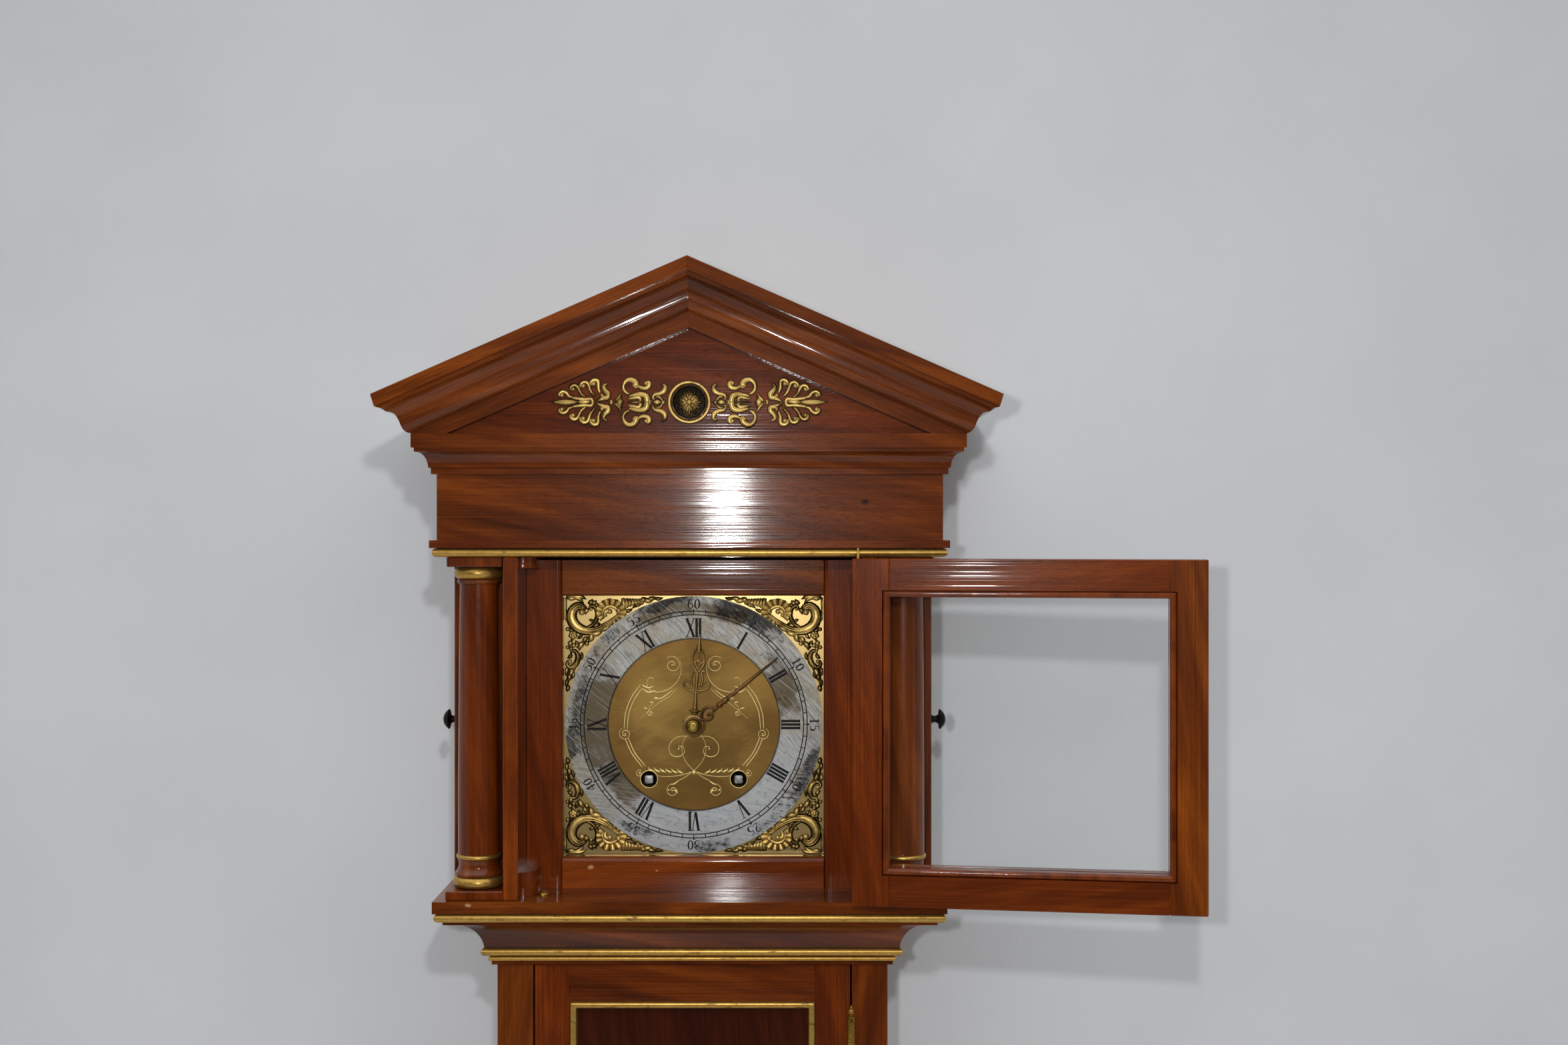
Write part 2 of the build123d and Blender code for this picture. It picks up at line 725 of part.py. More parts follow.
def eaves_profile():
    """Side moulding below the roof's edge: x out from the band, y the height."""
    low = cornice_top + wood_seam
    tip = (rake_proud, roof_line(band_half + rake_proud))
    with BuildLine() as outline:
        Polyline((-moulding_back, low), (0, low))
        Bezier((0, low), (6, low + 0.6), (6.2, low + 7), (9.5, low + 13))
        Bezier((9.5, low + 13), (12, low + 18.2), (15, low + 18.6), (19, low + 18.8))
        Polyline(
            (19, low + 18.8), (22.5, low + 21.6), (26.6, low + 22.4), tip,
            (-moulding_back, roof_line(band_half - moulding_back)), (-moulding_back, low),
        )
    make_face(outline.edges())


def rake_profile():
    """Raking moulding square to its slope: x out from the band, y up from the ogee's foot."""
    with BuildLine() as outline:
        Polyline((-moulding_back, -rake_band), (0, -rake_band), (0, 0))
        Bezier((0, 0), (7, 0.2), (10.4, 4.6), (10.9, 12))
        Bezier((10.9, 12), (11.35, 18.7), (14.5, 27.2), (22.5, 27.6))
        Polyline(
            (22.5, 27.6), (24.5, 27.6), (24.5, 31.6), (rake_proud, 31.6), (rake_proud, rake_height),
            (-moulding_back, rake_height), (-moulding_back, -rake_band),
        )
    make_face(outline.edges())


with BuildPart() as pediment_cornice:
    def cornice_section():
        z = frieze_top
        with BuildLine() as outline:
            Polyline((-14, z + wood_seam), (4.6, z + wood_seam), (4.6, z + 5.4), (6.6, z + 6.2))
            Bezier((6.6, z + 6.2), (7.1, z + 13.5), (9.8, z + 19.4), (16.2, z + 20.4))
            Polyline(
                (16.2, z + 20.4), (17.6, z + 20.4), (17.6, z + 24), (cornice_proud, z + 24),
                (cornice_proud, cornice_top), (-14, cornice_top), (-14, z + wood_seam),
            )
        make_face(outline.edges())

    mitred_surround(cornice_section, frieze_half, frieze_front, hood_back)
    # the raking moulding of the right-hand slope, cut to the eaves' outline, then mirrored
    down_slope = (cos(radians(rake_angle)), 0, -sin(radians(rake_angle)))
    rake_plane = Plane(
        origin=(0, band_front, roof_line(0, rake_height)), x_dir=(0, -1, 0),
        z_dir=tuple(-part for part in down_slope),
    )
    with BuildSketch(rake_plane.offset(60), mode=Mode.PRIVATE) as rake_sketch:
        rake_profile()
    rake = extrude(rake_sketch.sketch, amount=-(band_half * 1.4), mode=Mode.PRIVATE)
    crown_joint = Plane(origin=(wood_seam / 2, 0, 0), z_dir=(1, 0, 0))
    rake = split(rake, bisect_by=crown_joint, keep=Keep.TOP, mode=Mode.PRIVATE)
    eaves_plane = front_view(band_front - 2 * rake_proud, band_half)
    with BuildSketch(eaves_plane, mode=Mode.PRIVATE) as eaves_sketch:
        eaves_profile()
        from_middle = (Align.MIN, Align.MIN)
        with Locations((-band_half, 0)):
            Rectangle(band_half - moulding_back + 0.5, 1.2 * roof_line(0), align=from_middle)
            Rectangle(3 * band_half, cornice_top + wood_seam, align=from_middle, mode=Mode.SUBTRACT)
    eaves_block = extrude(eaves_sketch.sketch, amount=-2 * hood_depth, mode=Mode.PRIVATE)
    rake = rake & eaves_block
    add(rake)
    add(mirror(rake, about=Plane.YZ, mode=Mode.PRIVATE))
    return_plane = front_view(band_front + moulding_back + wood_seam, band_half)
    with BuildSketch(return_plane, mode=Mode.PRIVATE) as return_sketch:
        eaves_profile()
    eaves = extrude(return_sketch.sketch, amount=-(hood_back - band_front - moulding_back), mode=Mode.PRIVATE)
    add(eaves)
    add(mirror(eaves, about=Plane.YZ, mode=Mode.PRIVATE))

tympanum_front = band_front + tympanum_recess
tympanum_thickness = 10.0

with BuildPart() as tympanum_board:
    with BuildSketch(Plane.XZ.offset(-tympanum_front)):
        foot = cornice_top + 2 * wood_seam
        crown = roof_line(0, rake_height + rake_band + 0.2)
        spread = (crown - foot) / pediment_slope
        with BuildLine():
            Polyline((-spread, foot), (spread, foot), (0, crown), close=True)
        make_face()
    extrude(amount=-tympanum_thickness)

with BuildPart() as roof_boards:
    roof_end = band_half - moulding_back - wood_seam
    roof_front = band_front + moulding_back + wood_seam
    with BuildSketch(Plane.XZ.offset(-roof_front)):
        with BuildLine():
            Polyline(
                (wood_seam, roof_line(0)), (roof_end, roof_line(roof_end)),
                (roof_end, roof_line(roof_end, roof_thickness)), (wood_seam, roof_line(0, roof_thickness)),
                close=True,
            )
        make_face()
        mirror(about=Plane.YZ)
    extrude(amount=-(hood_back - roof_front))
    with BuildSketch(Plane.XZ.offset(-(hood_back - 9))):
        gable_end = roof_end - 2
        under_roof = roof_thickness + wood_seam
        with BuildLine():
            Polyline(
                (-gable_end, cornice_top + wood_seam), (gable_end, cornice_top + wood_seam),
                (gable_end, roof_line(gable_end, under_roof)), (0, roof_line(0, under_roof)),
                (-gable_end, roof_line(gable_end, under_roof)), close=True,
            )
        make_face()
    extrude(amount=-9)

mount_z = cornice_top + 29.0
mount_thickness = 4.0
medallion_radius = 20.5

with BuildPart() as tympanum_mount:
    with BuildSketch(Plane.XZ.offset(-(tympanum_front - wood_seam))):
        with Locations((0, mount_z)):
            Circle(medallion_radius)
        for side in (-1, 1):
            with Locations((side * 38, mount_z + 1), (side * 66, mount_z - 3)):
                Circle(12)
                Circle(6, mode=Mode.SUBTRACT)
            with Locations((side * 52, mount_z - 1)):
                Rectangle(70, 5)
            with Locations((side * 92, mount_z - 5)):
                Ellipse(24, 8)
            with Locations((side * 112, mount_z - 2)):
                Ellipse(13, 12)
    extrude(amount=mount_thickness)

# ================================================================ hood door, standing open
swing = radians(door_open_angle)
door_plane = Plane(origin=(pivot_x, pivot_y, 0), x_dir=(cos(swing), sin(swing), 0), z_dir=(0, 0, 1))
door_edge = pivot_inset
door_free_edge = pivot_inset - door_width
door_face = -pivot_depth
door_inner_face = door_face + door_thickness
rebate = door_face + 12.0

with BuildPart(door_plane) as hood_door_frame:
    sight_stile = door_stile + door_bead
    sight_rail = door_rail + door_bead
    frame_of_boards(
        door_free_edge, door_edge, door_face, door_inner_face, door_z0, door_z1,
        sight_stile, sight_rail, sight_rail,
    )
    soften(hood_door_frame, 0.7)
    # rebate for the glass, cut from the inner side
    rebate_centre = ((door_free_edge + door_edge) / 2, rebate + door_thickness / 2, (door_z0 + door_z1) / 2)
    with Locations(rebate_centre):
        Box(
            door_width - 2 * door_stile, door_thickness, door_height - 2 * door_rail, mode=Mode.SUBTRACT,
        )
    for hole_z in (door_z0, door_z1):
        with Locations((0, 0, hole_z)):
            Cylinder(pin_radius + pin_running_clearance, 2 * pin_length + 2, mode=Mode.SUBTRACT)
    bead_plane = Plane(origin=(0, rebate + glass_thickness + 0.4, 0), x_dir=(-1, 0, 0), z_dir=(0, 1, 0))
    bead_ring(
        bead_plane, -door_edge + door_stile + wood_seam, -door_free_edge - door_stile - wood_seam,
        door_z0 + door_rail + wood_seam, door_z1 - door_rail - wood_seam,
        door_bead - 0.2, door_inner_face - rebate - glass_thickness - 1.2,
    )

with BuildPart(door_plane) as hood_door_glass:
    board(
        door_free_edge + door_stile + 0.3, door_edge - door_stile - 0.3,
        rebate + 0.2, rebate + 0.2 + glass_thickness, door_z0 + door_rail + 0.3, door_z1 - door_rail - 0.3,
    )

# ================================================================ side doors of the hood
side_pivot_x = case_half - 3.0
side_pivot_y = side_door_y1 - 3.0
side_door_z0 = sill_top + door_gap
side_door_z1 = opening_top - door_gap
side_door_inner = case_half - side_door_thickness
knob_y = side_door_y0 + side_stile / 2
knob_z = dial_z + 4.0


def side_door(side):
    """Frame and panel of one side door, hinged at its rear edge."""
    inner, outer = sorted((side * side_door_inner, side * case_half))
    panel_inner, panel_outer = sorted((side * (side_door_inner + 3), side * (case_half - 4)))
    board(inner, outer, side_door_y0, side_door_y0 + side_stile, side_door_z0, side_door_z1)
    board(inner, outer, side_door_y1 - side_stile, side_door_y1, side_door_z0, side_door_z1)
    rail_y0 = side_door_y0 + side_stile + wood_seam
    rail_y1 = side_door_y1 - side_stile - wood_seam
    board(inner, outer, rail_y0, rail_y1, side_door_z0, side_door_z0 + door_rail)
    board(inner, outer, rail_y0, rail_y1, side_door_z1 - door_rail, side_door_z1)
    board(
        panel_inner, panel_outer, rail_y0 + wood_seam, rail_y1 - wood_seam,
        side_door_z0 + door_rail + wood_seam, side_door_z1 - door_rail - wood_seam,
    )


def side_door_holes(side):
    """Holes for the knob's shank and the two pivot pins."""
    with Locations(Location((side * case_half, knob_y, knob_z), (0, 90, 0))):
        Cylinder(knob_shank_radius + 0.02, 4 * side_door_thickness, mode=Mode.SUBTRACT)
    for hole_z in (side_door_z0, side_door_z1):
        with Locations((side * side_pivot_x, side_pivot_y, hole_z)):
            Cylinder(pin_radius + pin_running_clearance, 2 * pin_length + 2, mode=Mode.SUBTRACT)


knob_shank_radius = 3.0
knob_length = 16.0
knob_radius = 9.6
knob_dome_radius = 11.0


def side_knob(side):
    """Turned mushroom knob, its axis across the clock."""
    with BuildSketch(front_view(knob_y, case_half + 0.1, knob_z), mode=Mode.PRIVATE) as profile:
        with BuildLine():
            Polyline(
                (0, 0), (-side_door_thickness, 0), (-side_door_thickness, knob_shank_radius),
                (0, knob_shank_radius), (0, 5.4), (1.5, 5.4),
            )
            ThreePointArc((1.5, 5.4), (5, 3.2), (9, 5))
            Line((9, 5), (9.6, knob_radius - 0.6))
            dome = CenterArc((knob_length - knob_dome_radius, 0), knob_dome_radius, 0, 56)
            ThreePointArc((9.6, knob_radius - 0.6), (10.4, knob_radius), dome @ 1)
            Line(dome @ 0, (0, 0))
        make_face()
    body = revolve(profile.sketch, axis=Axis((0, knob_y, knob_z), (1, 0, 0)), mode=Mode.PRIVATE)
    add(body if side > 0 else mirror(body, about=Plane.YZ, mode=Mode.PRIVATE))


with BuildPart() as side_door_right:
    side_door(1)
    soften(side_door_right, 0.7)
    side_door_holes(1)

with BuildPart() as side_door_left:
    side_door(-1)
    soften(side_door_left, 0.7)
    side_door_holes(-1)

with BuildPart() as side_knob_right:
    side_knob(1)

with BuildPart() as side_knob_left:
    side_knob(-1)

# the hood door's upper pin passes through the ledge's gilt bead
side_pins = [(side * side_pivot_x, side_pivot_y) for side in (-1, 1)]
upper_pin_top = ledge_bottom + 5.5
pivot_pins = [(pivot_x, pivot_y, sill_top - pin_length, sill_top + pin_length)]
pivot_pins += [(pivot_x, pivot_y, opening_top - pin_length, upper_pin_top)]
for x, y in side_pins:
    pivot_pins += [(x, y, sill_top - pin_length, sill_top + pin_length)]
    pivot_pins += [(x, y, opening_top - pin_length, opening_top + pin_length)]

with BuildPart() as door_pivot_pins:
    for x, y, pin_z0, pin_z1 in pivot_pins:
        cylinder_z(x, y, pin_z0, pin_z1, pin_radius)

for holder in (hood_sill, hood_ledge, hood_gilt_trim):
    with holder:
        for x, y, pin_z0, pin_z1 in pivot_pins:
            cylinder_z(x, y, pin_z0 - 0.1, pin_z1 + 0.1, pin_radius + 0.01, mode=Mode.SUBTRACT)

# ================================================================ dial
hour_pipe_radius = 5.0
hour_pipe_bore = 3.6
cannon_radius = hour_pipe_bore - running_clearance
dial_hole_radius = 7.0

with BuildPart() as dial_plate:
    dial_half = dial_size / 2
    board(
        -dial_half, dial_half, dial_front, dial_front + dial_plate_thickness,
        dial_z - dial_half, dial_z + dial_half,
    )
    cylinder_y(0, dial_z, dial_front - 1, dial_front + 5, dial_hole_radius, mode=Mode.SUBTRACT)
    for side in (-1, 1):
        cylinder_y(
            side * winding_x, dial_z - winding_drop, dial_front - 1, dial_front + 5,
            winding_hole_radius, mode=Mode.SUBTRACT,
        )

with BuildPart() as chapter_ring:
    hollow_round(0, dial_z, dial_front - ring_thickness, dial_front, ring_outer_radius, ring_inner_radius)

spandrel_gap = 2.5           # from the mask and from the chapter ring
spandrel_size = 72.0
spandrel_thickness = 3.0
spandrel_centre = (dial_sight - spandrel_size) / 2 - spandrel_gap

with BuildPart() as spandrels:
    with BuildSketch(Plane.XZ.offset(-dial_front)):
        with Locations((0, dial_z)):
            with GridLocations(2 * spandrel_centre, 2 * spandrel_centre, 2, 2):
                Rectangle(spandrel_size, spandrel_size)
            Circle(ring_outer_radius + spandrel_gap, mode=Mode.SUBTRACT)
    extrude(amount=spandrel_thickness)

# ================================================================ hands
hour_hand_y = dial_front - ring_thickness - 4.4
minute_hand_y = hour_hand_y - 6.5
hand_thickness = 1.5
hour_boss_radius = 10.5
minute_boss_radius = 7.4
nut_radius = 7.0
nut_height = 5.0
cannon_front = minute_hand_y - hand_thickness

with BuildPart() as hour_hand:
    with BuildSketch(front_view(hour_hand_y, 0, dial_z, hour_angle)):
        Circle(hour_boss_radius)
        Polygon((-2.2, 8), (2.2, 8), (2.6, 34), (-2.6, 34), align=None)
        Polygon(
            (-5, 33), (5, 33), (7.5, 47), (2.4, 60), (0.4, hour_hand_length),
            (-0.4, hour_hand_length), (-2.4, 60), (-7.5, 47), align=None,
        )
        with Locations((-8, 43), (8, 43)):
            Circle(5.2)
            Circle(2.4, mode=Mode.SUBTRACT)
        with Locations((0, 41)):
            Ellipse(2.2, 4, mode=Mode.SUBTRACT)
        Circle(hour_pipe_radius + 0.01, mode=Mode.SUBTRACT)
    extrude(amount=hand_thickness)

with BuildPart() as minute_hand:
    with BuildSketch(front_view(minute_hand_y, 0, dial_z, minute_angle)):
        Circle(minute_boss_radius)
        Polygon(
            (-1.8, 5), (1.8, 5), (2.2, 22), (1.7, 62), (0.6, minute_hand_length),
            (-0.6, minute_hand_length), (-1.7, 62), (-2.2, 22), align=None,
        )
        with Locations((-4.6, 19), (4.6, 19)):
            Circle(3.6)
            Circle(1.6, mode=Mode.SUBTRACT)
        Circle(cannon_radius + 0.01, mode=Mode.SUBTRACT)
    extrude(amount=hand_thickness)

with BuildPart() as hand_nut:
    with BuildSketch(Plane.XZ.offset(-cannon_front), mode=Mode.PRIVATE) as nut_outline:
        with Locations((0, dial_z)):
            Circle(nut_radius)
    nut = extrude(nut_outline.sketch, amount=nut_height, mode=Mode.PRIVATE)
    nut_front = nut.faces().filter_by(Axis.Y).sort_by(Axis.Y)[0]
    add(nut.fillet(nut_height - 0.6, nut_front.edges()))

# ================================================================ movement
centre_z = dial_z
third_z = dial_z + 32.4
escape_z = third_z + 28.9
anchor_z = dial_z + 87.0
winding_z = dial_z - winding_drop
motion_angle = radians(-30)
motion_x = 32.4 * cos(motion_angle)
motion_z = dial_z + 32.4 * sin(motion_angle)
pin_wheel_x = -54.0
pin_wheel_z = dial_z + 2.0
hammer_x = -66.0
hammer_z = dial_z + 52.0
arbor_radius = 2.2
pivot_radius = 1.5
barrel_pivot_radius = 4.0
wheel_thickness = 2.5
space_front = front_plate_y + plate_thickness
space_back = back_plate_y


def pair_angle(x0, z0, x1, z1):
    """Direction from one arbor to another, in degrees, in the front view."""
    return degrees(atan2(z1 - z0, x1 - x0))


def arbor(x, z, y0=space_front + 0.3, y1=space_back - 0.3):
    """A steel spindle between the plates with a fine pivot at each end."""
    cylinder_y(x, z, y0, y1, arbor_radius)
    cylinder_y(x, z, front_plate_y + 0.2, movement_back - 0.2, pivot_radius)


great_teeth = 96
great_module = 2 * 68.44 / 104
strike_distance = ((pin_wheel_x + winding_x) ** 2 + (pin_wheel_z - winding_z) ** 2) ** 0.5
strike_teeth = 80
strike_module = 2 * strike_distance / 88
centre_module = 0.9
third_module = 0.85
motion_module = 0.9
hour_module = 64.8 / 78
motion_y0 = front_plate_y - 6
motion_y1 = front_plate_y - 4
great_y = space_back - 10
strike_y = space_front + 3
going_direction = pair_angle(winding_x, winding_z, 0, centre_z)
strike_direction = pair_angle(-winding_x, winding_z, pin_wheel_x, pin_wheel_z)

seat_gap = 0.05              # between a pillar's end and the plate that it carries

with BuildPart() as movement_frame:
    for plate_y in (front_plate_y, back_plate_y):
        board(
            -plate_width / 2, plate_width / 2, plate_y, plate_y + plate_thickness,
            seat_top + wood_seam, dial_z + plate_above,
        )
    pillar_x = plate_width / 2 - 9
    for x in (-pillar_x, pillar_x):
        for z in (seat_top + 10, dial_z + plate_above - 9):
            cylinder_y(x, z, space_front + seat_gap, space_back - seat_gap, 5)
            cylinder_y(x, z, dial_front + dial_plate_thickness + seat_gap, front_plate_y - seat_gap, 3.5)
    arbor_places = [
        (0, centre_z), (0, third_z), (0, escape_z), (0, anchor_z),
        (pin_wheel_x, pin_wheel_z), (hammer_x, hammer_z),
    ]
    for x, z in arbor_places:
        cylinder_y(
            x, z, front_plate_y - 1, movement_back + 1, pivot_radius + running_clearance, mode=Mode.SUBTRACT,
        )
    for side in (-1, 1):
        cylinder_y(
            side * winding_x, winding_z, front_plate_y - 1, movement_back + 1,
            barrel_pivot_radius + running_clearance, mode=Mode.SUBTRACT,
        )
    cylinder_y(
        0, centre_z, front_plate_y - 1, space_front + 1, arbor_radius + running_clearance, mode=Mode.SUBTRACT,
    )
    # stud for the motion wheel, and the cock that carries the pendulum's spring
    cylinder_y(motion_x, motion_z, front_plate_y - 17, front_plate_y - seat_gap, pivot_radius)
    board(-14, 14, movement_back + seat_gap, movement_back + 5, anchor_z + 4, anchor_z + 22)
    board(-7, 7, movement_back + 4, pendulum_y + 6, anchor_z + 8, anchor_z + 18)

with BuildPart() as centre_arbor:
    arbor(0, centre_z)
    cylinder_y(0, centre_z, cannon_front + 0.1, space_front + 4, arbor_radius)
    cylinder_y(0, centre_z, cannon_front + 0.1, front_plate_y - 3, cannon_radius)
    wheel(0, centre_z, great_y - 3, great_y + 6, 8, great_module, going_direction + 180 + 22.5, spokes=False)
    wheel(0, centre_z, space_front + 15, space_front + 15 + wheel_thickness, 64, centre_module, 90)
    motion_direction = pair_angle(0, centre_z, motion_x, motion_z)
    wheel(0, centre_z, motion_y0, motion_y1, 36, motion_module, motion_direction, spokes=False)

with BuildPart() as motion_wheel:
    back_direction = motion_direction + 180
    wheel(motion_x, motion_z, motion_y0, motion_y1, 36, motion_module, back_direction + 5, spokes=False)
    wheel(motion_x, motion_z, motion_y0 - 8, motion_y0, 6, hour_module, back_direction, spokes=False)
    stud_hole_radius = pivot_radius + running_clearance
    cylinder_y(
        motion_x, motion_z, front_plate_y - 16, front_plate_y, stud_hole_radius, mode=Mode.SUBTRACT,
    )

with BuildPart() as hour_wheel:
    wheel(
        0, centre_z, front_plate_y - 13, front_plate_y - 11, 72, hour_module,
        motion_direction + 2.5, spokes=False,
    )
    cylinder_y(0, centre_z, hour_hand_y - hand_thickness - 1, front_plate_y - 7, hour_pipe_radius)
    cylinder_y(0, centre_z, cannon_front, front_plate_y, hour_pipe_bore, mode=Mode.SUBTRACT)


def winding_barrel(side, wheel_y, teeth, module, phase):
    """Line drum with its great wheel, and a winding square that reaches the dial."""
    x = side * winding_x
    cylinder_y(x, winding_z, drum_y0, drum_y1, drum_radius)
    cylinder_y(x, winding_z, drum_y0 - 2, drum_y0, drum_radius + 2.4)
    cylinder_y(x, winding_z, drum_y1, drum_y1 + 2, drum_radius + 2.4)
    cylinder_y(x, winding_z, space_front + 0.3, space_back - 0.3, 6)
    cylinder_y(x, winding_z, front_plate_y - 4, movement_back, barrel_pivot_radius)
    with Locations((x, (dial_front - 1.5 + front_plate_y) / 2, winding_z)):
        Box(6, front_plate_y - dial_front + 1.5, 6)
    wheel(x, winding_z, wheel_y, wheel_y + 3, teeth, module, phase)


with BuildPart() as going_barrel:
    winding_barrel(1, great_y, great_teeth, great_module, going_direction)

with BuildPart() as strike_barrel:
    winding_barrel(-1, strike_y, strike_teeth, strike_module, strike_direction)

with BuildPart() as third_wheel:
    arbor(0, third_z)
    wheel(0, third_z, space_front + 11, space_front + 22, 8, centre_module, 270 + 22.5, spokes=False)
    wheel(0, third_z, space_front + 32, space_front + 32 + wheel_thickness, 60, third_module, 90)

escape_teeth = 30
escape_radius = 17.0

with BuildPart() as escape_wheel:
    arbor(0, escape_z)
    wheel(0, escape_z, space_front + 28, space_front + 39, 8, third_module, 270 + 22.5, spokes=False)
    with BuildSketch(front_view(space_front + 46, 0, escape_z)):
        tooth_points = []
        for tooth in range(escape_teeth):
            root_angle = radians(360 / escape_teeth * tooth)
            tip_angle = radians(360 / escape_teeth * (tooth + 0.75))
            next_angle = radians(360 / escape_teeth * (tooth + 0.95))
            for radius, angle in (
                (escape_radius - 4, root_angle), (escape_radius, tip_angle), (escape_radius - 4, next_angle),
            ):
                tooth_points.append((radius * cos(angle), radius * sin(angle)))
        Polygon(*tooth_points, align=None)
        with PolarLocations(7.4, 4, start_angle=45):
            Circle(3.4, mode=Mode.SUBTRACT)
    extrude(amount=2)

pallet_radius = escape_radius + 1.2
crutch_drop = 112.0
with BuildPart() as anchor:
    arbor(0, anchor_z)
    with BuildSketch(front_view(space_front + 47, 0, anchor_z)):
        drop = anchor_z - escape_z
        Polygon(
            (-4, 4), (4, 4), (21.5, -12), (21.5, -19.5), (18.6, -19.5), (17.4, -13), (4, -4),
            (-4, -4), (-17.4, -13), (-18.6, -19.5), (-21.5, -19.5), (-21.5, -12), align=None,
        )
        with Locations((0, -drop)):
            Circle(pallet_radius, mode=Mode.SUBTRACT)
    extrude(amount=4)
    # crutch outside the back plate, ending in a fork round the pendulum rod
    crutch_y = movement_back + 6
    fork_z = anchor_z - crutch_drop
    cylinder_y(0, anchor_z, back_plate_y, crutch_y + 3, pivot_radius)
    board(-2.5, 2.5, crutch_y, crutch_y + 2, fork_z, anchor_z + 4)
    both_sides(4, 6.4, crutch_y, pendulum_y + 5, fork_z, fork_z + 6)
    board(-6.4, 6.4, crutch_y, crutch_y + 2, fork_z, fork_z + 6)

rod_half = 3.6
rod_thickness = 4.0
bob_z = anchor_z - pendulum_length
bob_foot = bob_z - bob_radius

with BuildPart() as pendulum_rod:
    board(-4, 4, pendulum_y - 0.3, pendulum_y + 0.3, anchor_z - 40, anchor_z + 7.7)
    board(
        -rod_half, rod_half, pendulum_y - rod_thickness / 2, pendulum_y + rod_thickness / 2,
        bob_foot - 34, anchor_z - 36,
    )
    cylinder_z(0, pendulum_y, bob_foot - 11, bob_foot - 0.1, 8)

with BuildPart() as pendulum_bob:
    with BuildSketch(Plane.XY.offset(bob_z), mode=Mode.PRIVATE) as bob_profile:
        with BuildLine():
            bob_half = bob_thickness / 2
            Line((0, -bob_half), (0, bob_half))
            ThreePointArc((0, bob_half), (0.62 * bob_radius, 0.72 * bob_half), (bob_radius, 2))
            Line((bob_radius, 2), (bob_radius, -2))
            ThreePointArc((bob_radius, -2), (0.62 * bob_radius, -0.72 * bob_half), (0, -bob_half))
        make_face()
    lens = revolve(bob_profile.sketch, axis=Axis((0, 0, bob_z), (0, 1, 0)), mode=Mode.PRIVATE)
    with Locations((0, pendulum_y, 0)):
        add(lens)
    with Locations((0, pendulum_y, bob_z)):
        Box(
            2 * (rod_half + running_clearance), 2 * (rod_thickness / 2 + running_clearance), 3 * bob_radius,
            mode=Mode.SUBTRACT,
        )

with BuildPart() as pin_wheel:
    arbor(pin_wheel_x, pin_wheel_z)
    wheel(
        pin_wheel_x, pin_wheel_z, strike_y - 2, strike_y + 8, 8, strike_module,
        strike_direction + 180 + 22.5, spokes=False,
    )
    wheel(pin_wheel_x, pin_wheel_z, space_front + 26, space_front + 28.5, 56, 0.72, 0)
    for pin in range(8):
        angle = radians(45 * pin)
        cylinder_y(
            pin_wheel_x + 16 * cos(angle), pin_wheel_z + 16 * sin(angle),
            space_front + 28, space_front + 34, 1.2,
        )

hammer_reach = 78.0
with BuildPart() as hammer:
    arbor(hammer_x, hammer_z)
    board(
        hammer_x - 1.5, hammer_x + 1.5, space_front + 36, space_front + 40, hammer_z, hammer_z + hammer_reach,
    )
    with Locations(Location((hammer_x + 3, space_front + 38, hammer_z + hammer_reach), (0, 90, 0))):
        Cylinder(6, 18)
    board(hammer_x, hammer_x + 9, space_front + 30, space_front + 33, hammer_z - 24, hammer_z + 1)

with BuildPart() as bell:
    bell_x = hammer_x + 13 + bell_radius
    bell_y = space_front + 38
    bell_foot = hammer_z + hammer_reach - 6
    bell_inner = bell_radius - bell_wall
    with BuildSketch(front_view(bell_y, bell_x, bell_foot)):
        with BuildLine():
            CenterArc((0, 0), bell_radius, 0, 90)
            Line((0, bell_radius), (0, bell_inner))
            CenterArc((0, 0), bell_inner, 0, 90)
            Line((bell_inner, 0), (bell_radius, 0))
        make_face()
    revolve(axis=Axis((bell_x, bell_y, 0), (0, 0, 1)))
    # its bracket stands on the top edge of the back plate
    bracket_z = dial_z + plate_above + 0.05
    cylinder_z(bell_x, bell_y, bracket_z, bell_foot + bell_inner + 1, 3)
    board(bell_x - 6, bell_x + 6, bell_y - 4, movement_back, bracket_z, bracket_z + 4)

# ================================================================ weights and lines
pulley_radius = drum_radius
pulley_half = 4.0
weight_top = trunk_bottom + weight_length + 40
pulley_z = weight_top + pulley_radius + 12
line_top = seat_bottom


def weight(side):
    """Cylindrical weight with its pulley, and the bight of line that the pulley runs on."""
    x = side * winding_x
    cylinder_z(x, line_y, weight_top - weight_length, weight_top, weight_radius)
    for strap_y in (line_y - pulley_half - 2, line_y + pulley_half):
        board(x - 4, x + 4, strap_y, strap_y + 2, weight_top - 1, pulley_z + 6)
    cylinder_y(x, pulley_z, line_y - pulley_half - 2.5, line_y + pulley_half + 2.5, 2)
    wheel_y = (line_y - pulley_half + 0.1, line_y + pulley_half - 0.1)
    with BuildSketch(front_view(wheel_y[1], x, pulley_z), mode=Mode.PRIVATE) as disc:
        Circle(pulley_radius)
        Circle(2 + running_clearance, mode=Mode.SUBTRACT)
    add(extrude(disc.sketch, amount=wheel_y[1] - wheel_y[0], mode=Mode.PRIVATE))
    with BuildSketch(Plane.XY.offset(pulley_z), mode=Mode.PRIVATE) as gut:
        with Locations((x + pulley_radius + line_radius, line_y)):
            Circle(line_radius)
    bight = revolve(
        gut.sketch, axis=Axis((x, line_y, pulley_z), (0, 1, 0)), revolution_arc=180, mode=Mode.PRIVATE,
    )
    add(bight)


def line(side):
    """The two straight falls of one gut line, between the seat board and the pulley."""
    for reach in (line_x, line_fixed_x):
        cylinder_z(side * reach, line_y, pulley_z, line_top, line_radius)


with BuildPart() as weight_going:
    weight(1)

with BuildPart() as weight_strike:
    weight(-1)

with BuildPart() as line_going:
    line(1)

with BuildPart() as line_strike:
    line(-1)

